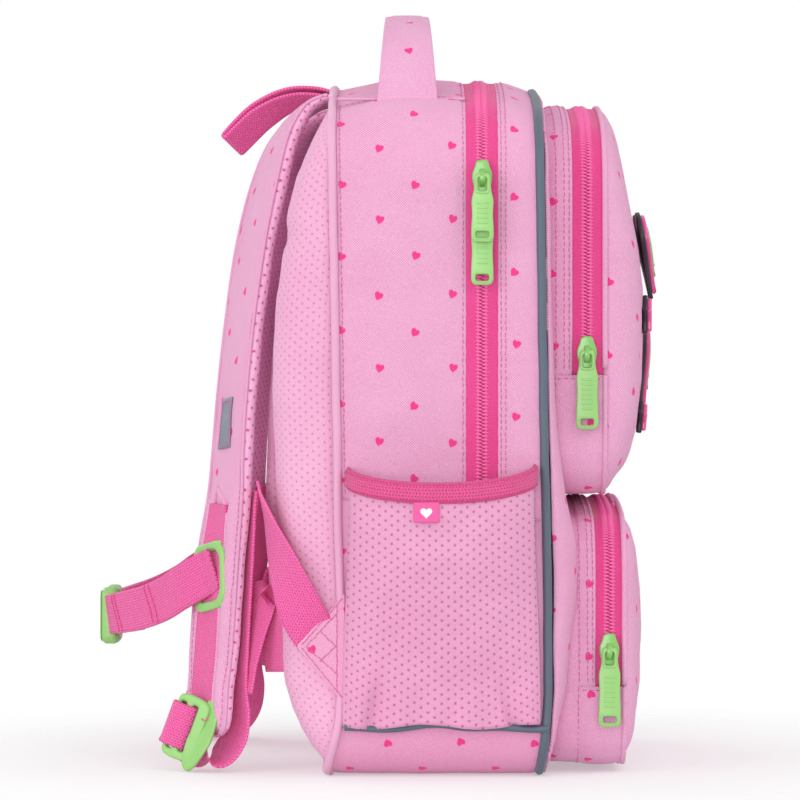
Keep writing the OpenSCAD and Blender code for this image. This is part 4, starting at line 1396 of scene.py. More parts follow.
# ---------------------------------------------------------------- handle, loop
def build_handle():
    """Padded grab handle: one closed strap, narrowest over its middle."""
    low, high = node_box("grab_handle")
    y = 0.5 * (low[1] + high[1])
    top = high[2] - 2.75
    half = [(-112.0, y, 360.0, 34), (-110.5, y, 366, 33), (-106, y, 377, 31), (-95, y, 390, 29),
            (-72, y, 402, 27), (-36, y, top - 5, 26), (0, y, top - 1.5, 26)]
    rows = half + [(-x, yy, z, w) for x, yy, z, w in reversed(half[:-1])]
    rows = spline(rows, 8)
    n = len(rows)
    path = rows[:, :3]
    tangent = tangents(path)
    dist = arc_lengths(path)
    out = np.cross(tangent, [0, 1.0, 0])
    angles = np.linspace(0, 2 * math.pi, 28, endpoint=False)
    points, uv = [], []
    for i in range(n):
        w = rows[i, 3] / 2
        thick = 1.9 + 1.5 * smooth_step(0, 60, dist[i]) * smooth_step(0, 60, dist[-1] - dist[i])
        ring, ring_uv = [], []
        for a in angles:
            c, s = math.cos(a), math.sin(a)
            u = (w - 0.6) * math.copysign(abs(c) ** 0.35, c)
            h = thick * math.copysign(abs(s) ** 0.5, s)
            h += 0.35 * crinkle((path[i, 0], u, 7.0), 16.0)
            h -= 0.5 * math.exp(-(((abs(u) - w + 3.4) / 1.1) ** 2)) * (1 if s > 0 else -1)
            ring.append(path[i] + np.array([0, 1.0, 0]) * u - out[i] * h)
            ring_uv.append((u + (70 if s < 0 else 0), dist[i]))
        points.append(ring)
        uv.append(ring_uv + [ring_uv[0]])
    obj = grid("handle_strap", np.array(points), np.array(uv), ["handle"], close_cols=True, caps=True)
    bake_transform(obj)
    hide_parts("grab_handle", "handle_feet")
    for side in (-1, 1):
        line = np.stack([path[:, 0], path[:, 1] + side * (rows[:, 3] / 2 - 3.2), path[:, 2]], 1) - out * 2.6
        stitch_line(line[3:-3], -out[3:-3], "handle")


def build_loop():
    """Hanging loop: one length of webbing doubled back on itself, twisting towards its folded tip."""
    middle = [(0, 59, 371.6, 0), (0, 68, 372.6, 8), (0, 80, 371.4, 20), (0, 91, 367.0, 32),
              (0, 102, 359.8, 42), (0, 110, 352.0, 46), (0, 116.0, 345.6, 46)]
    line = spline(middle, 5)
    path = line[:, :3]
    tangent = tangents(path)
    twist = np.radians(line[:, 3])[:, None]
    down = np.stack([np.zeros(len(path)), tangent[:, 2], -tangent[:, 1]], 1)
    lay = np.array([[1.0, 0, 0]]) * np.cos(twist) + down * np.sin(twist)
    normal = np.cross(lay, tangent)
    apart = np.array([1.5 + 0.8 * math.sin(math.pi * k / (len(path) - 1)) for k in range(len(path))])[:, None]
    turn = [path[-1] + tangent[-1] * 1.7 * math.sin(a) + normal[-1] * 1.5 * math.cos(a)
            for a in np.linspace(0, math.pi, 9)[1:-1]]
    points = list(path + normal * apart) + turn + list((path - normal * apart)[::-1])
    lays = list(lay) + [lay[-1]] * len(turn) + list(lay[::-1])
    rows = [tuple(p) + (20, 0) for p in points]
    obj = ribbon("hanging_loop_webbing", rows, 1.7, ["webbing"], lay=lays, k=1)
    place(obj, "loop", "webbing", "hanging_loop")


# ---------------------------------------------------------------- shoulder straps
STRAP = [(-60, 58, 364.5, 64, 4.5, 0), (-60, 66, 363, 64, 6, 3), (-61, 76, 357, 64, 9, 6),
         (-64, 86, 342, 64, 10.5, 11), (-68, 93.5, 318, 63, 11, 15), (-73, 100.5, 285, 61, 11, 17),
         (-80, 106, 245, 57, 11, 18), (-87, 110, 205, 53, 11, 19.5), (-92, 112.4, 170, 49, 11, 22),
         (-94, 114.0, 146, 46.5, 10.4, 26), (-94, 118.2, 112, 45.5, 10, 31), (-94, 121.4, 70, 44, 10, 33),
         (-94, 123.4, 46, 41, 9, 33), (-94, 124.2, 33, 41, 8.5, 33), (-94, 124.6, 24, 37, 7, 33),
         (-94, 124.7, 19, 26, 4.5, 33)]


def strap_frame(mirror_x, k=10):
    """Rows, path and the directions along, across and out of a strap, with distances."""
    rows = spline(STRAP, k)
    if mirror_x > 0:
        rows[:, 0] *= -1
    path = rows[:, :3]
    tangent = tangents(path)
    turn = np.radians(rows[:, 5]) * (1 if mirror_x < 0 else -1)
    raw = np.stack([np.cos(turn), np.sin(turn), np.zeros(len(rows))], 1)
    across = square_to(raw, tangent)
    face_out = np.cross(across, tangent)
    dist = arc_lengths(path)
    return rows, path, tangent, across, face_out, dist


# how far the rail webbing lies off the strap's middle line, towards the inside
RAIL_AT = 2.5
RAIL_TOP, RAIL_FOOT = 143, 33
RAIL_WIDTH = 22
NOTCH_TOP = 152
# the chest strap's height on the rails, and its width
CHEST_Z = 104
CHEST_WIDTH = 24


def channel(z, a):
    """How deep the strap's face sinks at a height and a place across it, under the rail webbing."""
    down = 1.0 - float(smooth_step(138, 150, z))
    lobes = math.exp(-(((abs(a - RAIL_AT) - 16.5) / 4.0) ** 2))
    return down * (2.4 * math.exp(-(((a - RAIL_AT) / 11.5) ** 6)) - 1.5 * lobes)


def build_strap(side):
    """A padded shoulder strap: printed face, mesh underside, stitched edges and welts."""
    name = side_name(side)
    rows, path, _, across, out, dist = strap_frame(side)
    n = len(rows)
    top_u = np.sin(np.linspace(-1, 1, 25) * math.pi / 2)
    low_a = np.linspace(0, math.pi, 26)[1:-1]
    points, uv = [], []
    for i in range(n):
        half, t = rows[i, 3] / 2, rows[i, 4]
        z = path[i, 2]
        ring, ring_uv = [], []
        for u in top_u:
            x = u * (half - 0.8)
            edge = (half - abs(x))
            h = t / 2 * (0.62 + 0.38 * (1 - abs(u) ** 2.6))
            h -= 1.0 * math.exp(-(((edge - 3.4) / 1.4) ** 2)) + channel(z, -x * side)
            h += 0.7 * crinkle((x + side * 300, z, 2.0), 26.0) + 0.3 * crinkle((x, z, 30.0), 9.0, 2)
            ring.append(path[i] + across[i] * x + out[i] * h)
            ring_uv.append((x, -dist[i]))
        for a in low_a:
            c, s = math.cos(a), math.sin(a)
            x = half * math.copysign(abs(c) ** 0.5, c)
            h = t * 0.31 - (t * 0.81) * abs(s) ** 0.6
            h += 0.5 * crinkle((x, z, 60.0 + side), 24.0)
            ring.append(path[i] + across[i] * x + out[i] * h)
        run = half
        for k in range(len(top_u), len(ring)):
            run += float(np.linalg.norm(ring[k] - ring[k - 1]))
            ring_uv.append((run, -dist[i]))
        points.append(ring)
        uv.append(ring_uv + [(run + 2, -dist[i])])
    mats = [0] * (len(top_u) - 1) + [1] * (len(low_a) + 1)
    obj = grid("strap_" + name, np.array(points), np.array(uv), ["print", "strap_mesh"], close_cols=True,
               caps=True, col_mats=mats, flip=side < 0)
    place(obj, "harness", "print_fabric", "shoulder_strap_" + name)
    SURFACES[side] = surface_of(obj)
    for edge in (-1, 1):
        line = path + across * (edge * (rows[:, 3] / 2 - 3.4))[:, None]
        sew(SURFACES[side], line[8:-6], out[8:-6], "harness")
    # welt where the printed face meets the mesh
    for edge in (-1, 1):
        line = path + across * (edge * (rows[:, 3] / 2 - 0.3))[:, None] + out * (rows[:, 4] * 0.31)[:, None]
        welt = tube(f"strap_welt_{name}_{'in' if edge > 0 else 'out'}", line[4:-2], 0.9, ["print"], sides=8)
        place(welt, "harness", "print_fabric")


def on_strap(side, z, a, lift=0.0):
    """A point lift above a strap's printed face, a across it towards the middle of the bag; then the
    directions across, out of and along the strap there."""
    rows, path, tangent, across, out, _ = strap_frame(side)
    zs = path[:, 2][::-1]
    curves = (path, across, out, tangent)
    p, ax, no, ta = (np.array([np.interp(z, zs, m[:, c][::-1]) for c in range(3)]) for m in curves)
    half = float(np.interp(z, zs, rows[:, 3][::-1])) / 2
    x = -side * a
    x = max(min(x, half - 0.9), 0.9 - half)
    hit = land(SURFACES[side], p + ax * x, no, 14.0)
    if hit is None:
        return p + ax * x, ax, no, ta
    return hit[0] + no * lift, ax, no, ta


def strap_ribbon(name, side, z0, z1, a, width, lift, thickness, material, count=10):
    """A flat strip sewn down a strap's face, its two edges held to the cloth."""
    points, uv = [], []
    length = 0.0
    last = None
    us = np.linspace(-width / 2, width / 2, 9)
    for z in np.linspace(z0, z1, count):
        ends = [on_strap(side, z, a + u, lift) for u in (-width / 2, 0.0, width / 2)]
        row = []
        for u in us:
            t = u / (width / 2)
            q = (ends[0][0] * (t * (t - 1) / 2) + ends[1][0] * (1 - t * t) + ends[2][0] * (t * (t + 1) / 2))
            row.append(q + ends[1][2] * 0.15 * crinkle((u, z, 5.0), 12.0, 2))
        if last is not None:
            length += float(np.linalg.norm(row[4] - last))
        last = row[4]
        points.append(row)
        uv.append([(u, length) for u in us])
    obj = grid(name, np.array(points), np.array(uv), [material])
    face_outwards(obj, ends[1][2])
    bake(obj, ("SUBSURF", dict(levels=1, render_levels=1)))
    return solid(obj, thickness, 0.6)


def build_lock(side, name, centre, width_dir, along):
    """Ladder lock seen on its edge: a two-slot frame, a curled leaf tab and the webbing through it."""
    matrix = axes(centre, width_dir, along)
    frame_line = [(-16.5, -10), (16.5, -10), (18, -4), (17.5, 6), (15, 11), (-15, 11), (-17.5, 6),
                  (-18, -4)]
    slots = [pill(-13, 13, -7.6, -4.0, 1.2), pill(-13, 13, 0.2, 3.8, 1.2)]
    body = plate(f"lock_{name}_frame", round_poly(frame_line, 4.0), slots, 4.4, 1.4, "green", matrix)
    leaf = [(-12, 5), (2, 3.5), (12, 4.5), (20, 6), (22, 10), (17, 15), (9, 18.5), (2, 20), (-6, 18),
            (-13, 16.5), (-19, 17.5), (-22, 13), (-19, 7.5)]
    normal = np.array([matrix[r][2] for r in range(3)])
    sense = 1.0 if normal[0] * side > 0 else -1.0

    def curl(px, py, pz):
        drop = py - 7
        return (px, py, pz + sense * (0.02 * drop * drop + 1.6 * math.sin(px * 0.14)))

    tab = plate(f"lock_{name}_tab", round_poly(leaf, 5.0), [], 2.8, 1.1, "green", matrix, warp=curl, detail=3)
    lock = join("ladder_lock_" + name, [body, tab])
    place(lock, "harness", "green_plastic", "strap_adjusters")
    normal = normal * sense
    width = np.array(width_dir)
    # webbing from the strap's end, round the far bar and back through the lock
    start = on_strap(side, 38, RAIL_AT, 0.8)
    bar = centre - along * 9.0
    rows = laid(CHEST_WIDTH, start[0], start[0] + np.array([0, 3.0, -7.0]),
                centre - normal * 4.5 + np.array([0, -4, 4.0]),
                bar - normal * 3.4, bar - along * 3.4, bar + normal * 3.4,
                centre + normal * 3.6 - along * 3.0,
                centre + along * 1.6 + normal * 1.0,
                centre + along * 2.4 - normal * 3.0)
    down = start[1] * (1 if start[1][2] * width[2] + start[1][1] * width[1] > 0 else -1)
    lays = [down, unit(down + width * 0.35), unit(down * 0.3 + width)] + [width] * 6
    obj = ribbon(f"lock_web_{name}", rows, 1.6, ["webbing"], lay=lays, k=5)
    place(obj, "harness", "webbing")


def build_strap_trim(side):
    """Rail webbing, reflective patch, rolled notch edges and the ladder lock of a strap."""
    name = side_name(side)
    rail = strap_ribbon("rail_" + name, side, RAIL_TOP, RAIL_FOOT, RAIL_AT, RAIL_WIDTH, 0.7, 1.7,
                        "webbing", 40)
    place(rail, "harness", "webbing", "rail_webbing")
    patch = strap_ribbon("reflector_" + name, side, 200, 173, -1, 17, 0.4, 0.8, "reflective", 16)
    place(patch, "harness", "reflective", "reflective_patches")
    top = surface_of(patch)
    corners = [on_strap(side, z, -1 + u) for z, u in ((198.3, -7.0), (198.3, 7.0), (174.7, 7.0),
                                                      (174.7, -7.0), (198.3, -7.0))]
    sew(top, [c[0] for c in corners], [c[2] for c in corners], "harness", step=2.6)
    # the face's two sides meet above the webbing in a V, each with a rolled edge
    for edge in (-1, 1):
        pts = []
        for t in np.linspace(0, 1, 12):
            z = NOTCH_TOP - 15 * t
            pts.append(on_strap(side, z, RAIL_AT + 3 + (edge * 11.5 - 3) * t ** 0.8, 0.2)[0])
        for z in np.linspace(134, 34, 26):
            pts.append(on_strap(side, z, RAIL_AT + edge * 11.8, 0.3)[0])
        roll = [1.3] * 12 + [1.0] * 26
        seam = tube(f"notch_{name}_{'a' if edge > 0 else 'b'}", pts, roll, ["print"], sides=10)
        place(seam, "harness", "print_fabric")
    lock_width = unit((0, 0.34, -0.94))
    along = unit((side * 0.5, -0.81, -0.293))
    centre = np.array([side * 99, 137.5, 22.8])
    build_lock(side, name, centre, lock_width, along)


def build_lower_webbing(side):
    """Webbing from the anchor patch up behind the strap and down to the lock, with its folded tail."""
    name = side_name(side)
    rise = [(-139.6, 62.5, 71.5, 25, 90), (-141.2, 68.6, 78.4, 25, 90), (-142.4, 73.5, 86.5, 25, 80),
            (-141.5, 78.6, 98, 25, 62), (-138, 83.6, 110, 25, 42), (-128, 90.2, 127, 25, 20),
            (-117, 95.4, 143, 25, 5), (-112, 97.0, 150, 25, 0)]
    fall = [(-101, 101.8, 150, 25, 12), (-102, 103.0, 140, 25, 16), (-101, 105.6, 110, 25, 22),
            (-99.5, 108.4, 76, 25, 26), (-98.5, 110.2, 46, 25, 28), (-98.5, 109.4, 31, 25, 32),
            (-98.5, 111.4, 18.5, 25, 36), (-99, 117, 9.4, 25, 42), (-99.5, 124, 5.6, 24, 50),
            (-99.5, 131, 8.0, 22, 60), (-99, 137, 14, 22, 70)]
    # the loose tail: up to a fold and down again to its stitched end
    tail = [(-101, 107.5, 44, 25, 30), (-103, 105.5, 58, 25, 32), (-106, 101.5, 74, 25, 34),
            (-109, 97.2, 88, 25, 36), (-110.5, 94.8, 95.5, 25, 37), (-111.0, 93.2, 95.5, 25, 37),
            (-111.6, 91.8, 88, 25, 36), (-112.0, 89.4, 70, 25, 34), (-112, 87.6, 54, 25, 32)]
    pieces = []
    for label, rows in (("rise", rise), ("fall", fall), ("tail", tail)):
        rows = [(-side * r[0],) + r[1:4] + ((r[4] if side < 0 else 180 - r[4]),) for r in rows]
        pieces.append(ribbon(f"web_{name}_{label}", rows, 1.6, ["webbing"], k=6))
    place(pieces[1], "harness", "webbing", "lower_webbing_" + name)
    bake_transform(pieces[0])
    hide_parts("lower_webbing_" + name)
    place(pieces[2], "harness", "webbing")
    trees = surface_of(pieces[2])
    for z in (56, 58.5):
        line = [(side * (112 - 11 * t), 87.8 + 6.5 * t, z) for t in np.linspace(-0.9, 0.9, 8)]
        sew(trees, line, [(side * 0.5, -0.85, 0)] * len(line), "harness", colour="thread_hot", step=2.0)


def build_anchor(side):
    """Triangular patch that sews the lower webbing to the side wall."""
    name = side_name(side)
    x = HALF_W - 0.2
    corners = [(HALF_D - 3, 98), (77, 69.5), (HALF_D - 3, 38)]
    matrix = axes((side * (x + 0.8), 0, 0), (0, 1, 0), (0, 0, 1))
    obj = plate("anchor_patch_" + name, round_poly(corners, 2.0), [], 4.2, 0.9, "print_flat", matrix,
                detail=3,
                warp=lambda px, py, pz: (px, py, pz + 0.5 * crinkle((px, py, 3.0), 14.0, 2)))
    place(obj, "pack", "print_fabric", "strap_anchor_patches")
    trees = surface_of(obj)
    lines = [[(52.5, 95), (74.2, 70.2)], [(74.2, 69), (52.5, 42.4)], [(55.4, 92),
              (55.4, 45)], [(71.8, 69.6), (55.4, 55.0)], [(71.8, 69.6), (55.4, 87)], [(64.5, 78),
              (55.4, 69)], [(64.5, 61.5), (55.4, 70)]]
    for a, b in lines:
        path = [(side * (x + 3), *(np.array(a) + (np.array(b) - a) * t)) for t in np.linspace(0, 1, 9)]
        sew(trees, path, [(side, 0, 0)] * 9, "pack", step=2.6)


# ---------------------------------------------------------------- chest strap
def hang_between(obj, side, *nodes):
    """Chest webbing: on the socket's side it rides the chest strap; on the plug's side, where it runs between
    the strap and the buckle, its transform is baked and it rides no body.
    """
    if side < 0:
        place(obj, "chest_strap", "webbing", *nodes)
        return
    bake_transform(obj)
    if nodes:
        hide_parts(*nodes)


def build_buckle(centre):
    """Side-release buckle: the socket with its ribs, and the plug with two prongs and a spine."""
    matrix = axes(centre, (1, 0, 0), (0, 0, 1))

    def bow(px, py, pz):
        return (px, py, pz - 0.004 * px * px)

    shell = [(-22, 13), (-18, 16), (-4, 15.4), (4, 13.6), (4, -13.6), (-4, -15.4), (-18, -16), (-22, -13)]
    socket = plate("buckle_socket_shell", round_poly(shell, 3.0), [pill(-19.2, -15.4, -11.6, 11.6, 1.0)],
                   9.0, 2.6, "green", matrix, warp=bow, detail=1)
    grip = [plate(f"buckle_rib_{i}", pill(x - 0.6, x + 0.6, -8, 8, 0.5), [], 9.8, 0.3, "green", matrix)
            for i, x in enumerate((-10, -7, -4))]
    place(join("buckle_socket_body", [socket] + grip), "chest_strap", "green_plastic", "buckle_socket")
    plug = [(4.6, 13.4), (12, 15.6), (18, 16), (22, 13), (22, -13), (18, -16), (12, -15.6), (4.6, -13.4)]
    head = plate("buckle_plug_head", round_poly(plug, 3.0), [pill(15.4, 19.2, -11.6, 11.6, 1.0)], 8.0, 2.4,
                 "green", matrix, warp=bow, detail=1)
    prongs = []
    for i, y in enumerate((10.0, -10.0)):
        prong = round_poly([(6, y), (-8, y * 1.06), (-9.4, y * 0.8), (-8, y * 0.6), (6, y * 0.66)], 1.0)
        prongs.append(plate("buckle_prong_" + str(i), prong, [], 3.6, 1.0, "green", matrix))
    spine = plate("buckle_spine", pill(-8, 6, -1.5, 1.5, 1.0), [], 3.0, 0.8, "green", matrix)
    place(join("buckle_plug_body", [head, spine] + prongs), "buckle_tongue", "green_plastic", "buckle_plug")


def build_chest():
    """Rail sliders, chest webbing and its folded ends, and the buckle."""
    body = "chest_strap"
    low, high = node_box("buckle_socket")
    buckle_y, buckle_z = 0.5 * (low[1] + high[1]), 0.5 * (low[2] + high[2])
    for side in (-1, 1):
        name = side_name(side)
        p, across, out, tangent = on_strap(side, CHEST_Z, RAIL_AT, 2.4)
        up = -tangent
        lean = 0.22 * side
        wide = across * math.cos(lean) + up * math.sin(lean)
        tall = up * math.cos(lean) - across * math.sin(lean)
        ring = [(-11, 18.5), (13, 18.5), (17.5, 12), (17.5, -12), (13, -18.5), (-11, -18.5), (-16.5, -12),
                (-16.5, 12)]
        hole = [(-7.5, 13.8), (9.5, 13.8), (13.0, 9.5), (13.0, -9.5), (9.5, -13.8), (-7.5, -13.8),
                (-12, -9), (-12, 9)]
        matrix = axes(p, wide, tall)
        ring_plate = plate(f"rail_slider_{name}_ring", round_poly(ring, 3.5), [round_poly(hole, 2.5)], 3.8,
                           1.3,
                       "green", matrix)
        bars = []
        for y, x0, x1 in ((15.8, -13, 13), (-15.8, -13, -1.6), (-15.8, 1.6, 13)):
            bars.append(plate(f"rail_slider_{name}_bar_{x0:.0f}_{y:.0f}",
                              pill(x0, x1, y - 2.4, y + 2.4, 1.2), [],
                              5.0, 1.4, "green", axes(p - out * 0.8, wide, tall)))
        obj = join("rail_slider_" + name, [ring_plate] + bars)
        place(obj, body, "green_plastic", "sternum_sliders")
        inward = -side * np.array([1.0, 0, 0])
        base = p + out * 0.5
        grip = base + out * 2.0 + inward * 4
        rise = np.array([0, 0, 1.0])
        rows = laid(CHEST_WIDTH, base - inward * 8 - out * 2.2 + rise * 5,
                    base - inward * 2 + out * 0.6 + rise * 2.4, grip + out * 3.2)
        rows += [(side * x, y, z, width, 0) for x, y, z, width in ((84, 141.0, 98.0, 24),
                 (72, 150.5, 91.6, 24), (56, 162.5, 86.0, 23.5), (38, 176.0, 82.0, 23),
                 (25, 183.8, buckle_z + 1.2, 22), (17.2, 186.4, buckle_z, 22), (14.2, 184.4, buckle_z, 22),
                 (17.0, 181.2, buckle_z, 22))]
        flat = np.array([0, 0.12, 1.0])
        lays = [flat] * len(rows)
        obj = ribbon("chest_webbing_" + name, rows, 1.7, ["webbing"], lay=lays, k=8)
        hang_between(obj, side, "sternum_webbing_" + name)
        # the folded end lies on the webbing and is tacked down
        under = [(side * 17.0, 181.2, buckle_z, 22, 0), (side * 27, 180.6, buckle_z + 1.4, 22, 0),
                 (side * 40, 172.6, 82.6, 23, 0), (side * 50, 165.2, 84.6, 23.5, 0)]
        fold = ribbon("chest_fold_" + name, under, 1.6, ["webbing"], lay=(0, 0.12, 1), k=6)
        hang_between(fold, side)
        trees = surface_of(obj)
        for k, x in enumerate((62.0, 63.6, 34.0, 35.6)):
            y, z = (158.0, 88.0) if k < 2 else (178.5, 81.6)
            line = [(side * x, y, z + d) for d in np.linspace(-10, 10, 9)]
            sew(trees, line, [(side * -0.6, 0.8, 0)] * 9, body, colour="thread_hot", step=1.8)
    build_buckle(np.array([0, buckle_y, buckle_z]))


# ---------------------------------------------------------------- mesh side pockets
def build_tag(at):
    """Small woven label under the binding, with a plain heart."""
    at = at + np.array([-2.2, 0, -11.5])
    matrix = axes(at, (0, -1, 0), (0.12, 0, 1))
    tag = plate("side_tag", pill(-6.8, 6.8, -6.2, 4.5, 0.6), [], 1.2, 0.4, "tag", matrix)
    mark_at = axes(at + np.array([-0.3, 0, -1.0]), (0, -1, 0), (0.12, 0, 1))
    mark = plate("side_tag_heart", heart_outline(6.4), [], 1.4, 0.2, "white", mark_at)
    place(join("pocket_side_tag", [tag, mark]), "pack", "tag_fabric", "pocket_tag")


def build_side_pocket(side):
    """Mesh bottle pocket: one bulging sheet, gathered at its foot, with a folded binding."""
    name = side_name(side)
    z0, z1 = BAND_TOP - 1.0, POCKET_TOP - 4.0
    rows, cols = 64, 84
    points = np.zeros((rows, cols, 3))
    uv = np.zeros((rows, cols, 2))
    out_foot, out_top = 6.0, 36.0
    for i in range(rows):
        r = i / (rows - 1)
        for j in range(cols):
            a = math.pi * j / (cols - 1)
            arch = max(math.sin(a), 0.0)
            bulge = out_foot + (out_top - out_foot) * math.sin(math.pi / 2 * min(r * 1.05, 1.0)) ** 1.1
            swell = arch ** 0.8
            narrow = 1.5 + 3.4 * smooth_step(0.1, 0.9, r)
            y = -(HALF_D - narrow) * math.cos(a)
            sag = (1.5 + 8.5 * arch ** 1.2 + 1.5 * j / (cols - 1)) * r ** 3
            z = z0 + (z1 + 13.5 - z0) * r - sag
            # two darts draw the bottom corners in; the mesh gathers above the seam
            dart = math.exp(-(((abs(y) - 38 + 34 * r) / 3.2) ** 2)) * math.exp(-((r / 0.2) ** 2))
            puffed = math.exp(-(((abs(y) - 46) / 7.0) ** 2)) * math.exp(-(((r - 0.08) / 0.12) ** 2))
            x = HALF_W + 1.0 + bulge * swell - 3.2 * dart + 3.4 * puffed
            x += 2.2 * crinkle((y + side * 200, z, 5.0), 34.0) * min(r * 3, 1) * min(swell * 1.5, 1)
            gather = math.sin(y * 0.34 + 1.2 * crinkle((y, z, 8.0), 30.0))
            x += 0.9 * gather * math.exp(-(((r - 0.02) / 0.12) ** 2))
            z += 1.3 * math.sin(y * 0.11 + 0.6) * (1 - r) ** 6
            points[i, j] = (side * x, y, z)
            drift = 10.0 * math.sin(a) * (1 - r) ** 2 * (1 - 2 * j / (cols - 1))
            uv[i, j] = (y * 1.1 + drift, z - 0.0016 * (y * y) * (1 - r) * 2)
    obj = grid("mesh_pocket_sheet_" + name, points, uv, ["pocket_mesh"])
    face_outwards(obj, (side, 0, 0))
    top_row = points[-1]
    solid(obj, 1.3)
    place(obj, "pack", "pocket_mesh", "mesh_pocket_" + name)
    # folded binding along the mouth, rolled over the mesh's edge
    lip, lip_uv = [], []
    run = arc_lengths(top_row)
    section = [(1.0, -8.2), (1.6, -7.4), (1.9, -4.0), (1.9, 0), (1.5, 2.6), (0.4, 3.6), (-0.6, 3.0),
               (-1.0, 1.4), (-1.0, -7.4)]
    for j in range(cols):
        tangent = unit(top_row[min(j + 1, cols - 1)] - top_row[max(j - 1, 0)])
        out = unit(np.cross(tangent, (0, 0, 1.0)))
        if out[0] * side < 0:
            out = -out
        wave = 0.5 * crinkle((run[j], side * 9.0, 4.0), 24.0, 2)
        lip.append([top_row[j] + out * (a + 0.2 + wave) + np.array([0, 0, b]) for a, b in section])
        lip_uv.append([(k * 1.9, run[j]) for k in range(len(section))] + [(len(section) * 1.9, run[j])])
    band = grid("pocket_lip_" + name, np.array(lip), np.array(lip_uv), ["binding"], close_cols=True,
                caps=True,
                flip=side < 0)
    bake(band, ("SUBSURF", dict(levels=1, render_levels=1)))
    place(band, "pack", "binding", "pocket_binding_" + name)
    trees = surface_of(band)
    normals = [unit((side, 0.012 * p[2][1], 0)) for p in lip]
    for drop in (-6.6, 1.8):
        line = [p[3] + np.array([0, 0, drop]) for p in lip]
        sew(trees, line[2:-2], normals[2:-2], "pack", colour="thread_hot", step=2.8)
    if side < 0:
        build_tag(top_row[cols // 2 + 4])


# shape, x, z, size, colour of its face
BADGES = (
    ("heart", -25, 284, 56, "badge_face"),
    ("heart", 22, 226, 68, "badge_face"),
    ("star", -60, 246, 11, "badge_face"),
    ("star", 60, 284, 13, "badge_green"),
    ("star", -38, 190, 9, "badge_face"),
)


def build_badges():
    """Felt-backed appliques: each is flat and stiff, and leans with the pocket face it is tacked to."""
    def seat(x, z, lift):
        spot, normal = land(SURFACES["upper_pocket"], (x, FACE_Y - 12, z), (0, -1, 0), reach=50)
        normal = unit(normal + np.array([0, -0.15, 0]))
        across = unit(np.cross(normal, [0, 0, 1.0]))
        across = across if across[0] > 0 else -across
        up = unit(np.cross(across, normal))
        up = up if up[2] > 0 else -up
        return axes(tuple(spot + normal * lift), across, up), normal

    backs, fronts = [], []
    for i, (kind, x, z, size, colour) in enumerate(BADGES):
        draw = heart_outline if kind == "heart" else star_outline
        stand = 2.6 if kind == "heart" else 1.6
        rim = size if kind == "heart" else size + 2
        label = f"badge_{i}"
        backs.append(plate(label + "_back", draw(rim), [], 2.8, 0.9, "badge_edge", seat(x, z, stand)[0]))
        inner = size * 0.9 if kind == "heart" else size
        fronts.append(plate(label + "_face", draw(inner), [], 2.6, 0.9, colour, seat(x, z, stand + 2.4)[0]))
        if kind == "heart":
            for k, (part, mat) in enumerate(((0.58, "badge_green"), (0.38, "white"))):
                matrix = seat(x, z, stand + 3.9 + 0.7 * k)[0]
                fronts.append(plate(f"{label}_layer_{k}", draw(size * part), [], 1.8, 0.7, mat, matrix))
    place(join("badge_backs", backs), "upper_cover", "badge_edge", "badge_backing")
    place(join("badge_fronts", fronts), "upper_cover", "badge_face", "badge_faces")


# ---------------------------------------------------------------- inside
def dress_inside():
    """Stiffeners and the document sleeve keep their CAD shapes."""
    for node, key in (("back_board", "stiffener"), ("base_board", "stiffener"), ("inner_sleeve", "sleeve")):
        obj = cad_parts[node]
        for entry in obj.material_slots:
            entry.material = MAT[key]


def flush_scattered():
    """Makes one mesh for each body from the stitches and zip teeth collected so far."""
    for (body, colour), (verts, faces, _) in STITCHES.items():
        obj = new_object(f"stitches_{body}_{colour}", np.concatenate(verts), faces, None, [colour])
        place(obj, body, "print_fabric" if colour == "thread" else "binding")
    for body, (verts, faces, _) in TEETH.items():
        obj = new_object(f"zip_teeth_{body}", np.concatenate(verts), faces, None, ["coil"])
        place(obj, body, "zip_coil")


# ---------------------------------------------------------------- stage, lights, camera
# metres and watts
FADE_NEAR, FADE_FAR, FADE_LEAST = 0.12, 0.42, 0.35
SKY_LIGHT, SKY_SEEN = 0.69, 1.0
AIM = (0, 0, 0.2)
CAMERA_AT = (-2.2, 0.022, 0.2)
CAMERA_LENS = 174.9
# name, place, size, power
LIGHTS = (
    ("key", (-1.9, -1.1, 2.0), 1.8, 10.5),
    ("fill", (-1.7, 2.0, 1.0), 1.8, 19.5),
    ("front", (-0.3, -2.6, 1.4), 1.6, 16),
    ("low", (-2.6, 0.3, 0.3), 1.0, 18),
    ("back", (1.6, 1.8, 1.6), 1.8, 12),
)


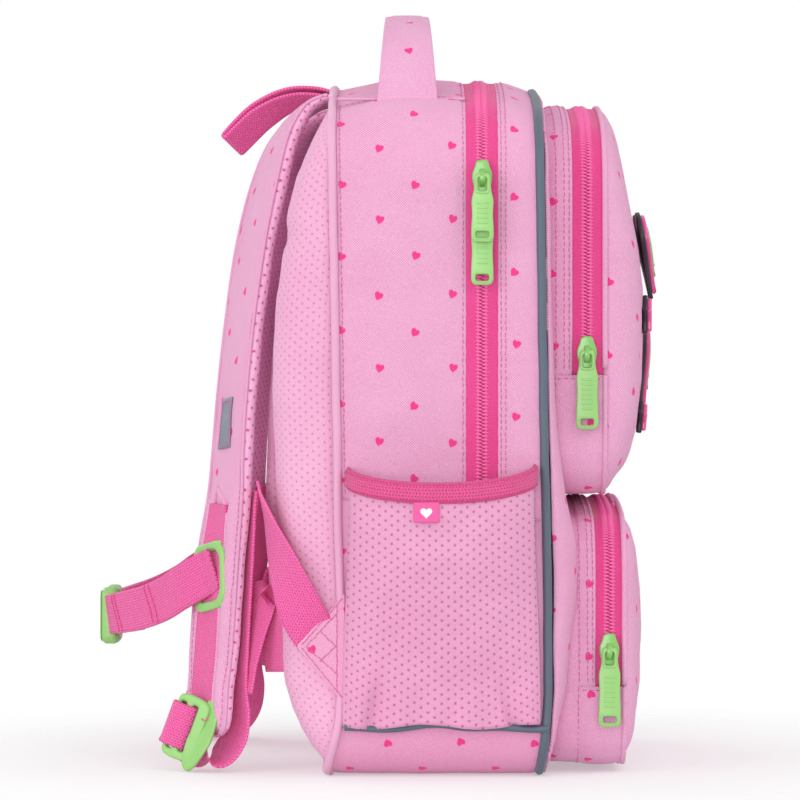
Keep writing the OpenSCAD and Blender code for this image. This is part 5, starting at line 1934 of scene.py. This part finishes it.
def build_stage():
    """White floor that fades out, even surroundings, five soft lights and the camera."""
    t = Tree("studio_floor")
    t.put(Base_Color=t.mix(t.cloud(2.0, 2.0), (0.93, 0.93, 0.93, 1), (0.95, 0.95, 0.95, 1)), Roughness=0.9)
    # the floor thins out into the white surroundings away from the bag
    where = t.add("TexCoord", out=3)
    length = t.add("VectorMath", (where,), operation="LENGTH", out=1)
    span = {"Value": length, "From Min": FADE_NEAR, "From Max": FADE_FAR, "To Min": FADE_LEAST}
    fade = t.add("MapRange", span, interpolation_type="SMOOTHSTEP")
    clear = t.add("BsdfTransparent")
    blend = t.tree.nodes.new("ShaderNodeMixShader")
    t.tree.links.new(fade, blend.inputs[0])
    t.tree.links.new(t.shader.outputs[0], blend.inputs[1])
    t.tree.links.new(clear, blend.inputs[2])
    t.tree.links.new(blend.outputs[0], t.tree.nodes["Material Output"].inputs[0])
    bpy.ops.mesh.primitive_plane_add(size=6, location=(0, 0, -0.0006))
    floor = bpy.context.object
    floor.name = "studio_floor"
    floor.data.materials.append(t.mat)
    world = bpy.data.worlds.new("studio")
    bpy.context.scene.world = world
    world.use_nodes = True
    tree = world.node_tree
    background = tree.nodes["Background"]
    background.inputs[0].default_value = (1, 1, 1, 1)
    path = tree.nodes.new("ShaderNodeLightPath")
    level = tree.nodes.new("ShaderNodeMapRange")
    level.inputs["To Min"].default_value = SKY_LIGHT
    level.inputs["To Max"].default_value = SKY_SEEN
    tree.links.new(path.outputs["Is Camera Ray"], level.inputs["Value"])
    tree.links.new(level.outputs[0], background.inputs[1])
    for name, spot, size, power in LIGHTS:
        light = bpy.data.lights.new(name, "AREA")
        light.size = size
        light.energy = power
        lamp = link(name, light)
        lamp.location = spot
        direction = Vector(AIM) - Vector(spot)
        lamp.rotation_euler = direction.to_track_quat("-Z", "Y").to_euler()
    bpy.context.scene.view_settings.view_transform = "Standard"
    data = bpy.data.cameras.new("camera")
    data.lens = CAMERA_LENS
    data.sensor_width = 36
    data.clip_end = 60
    camera = link("camera", data)
    camera.location = CAMERA_AT
    camera.rotation_euler = (math.pi / 2, 0, -math.pi / 2)
    bpy.context.scene.camera = camera


build_main_walls()
build_piping()
build_front_face()
build_back()
build_pads()
build_zips()
build_pockets()
build_sliders()
build_handle()
build_loop()
for side in (-1, 1):
    build_strap(side)
    build_strap_trim(side)
    build_lower_webbing(side)
    build_anchor(side)
    build_side_pocket(side)
build_chest()
build_badges()
dress_inside()
flush_scattered()
build_stage()
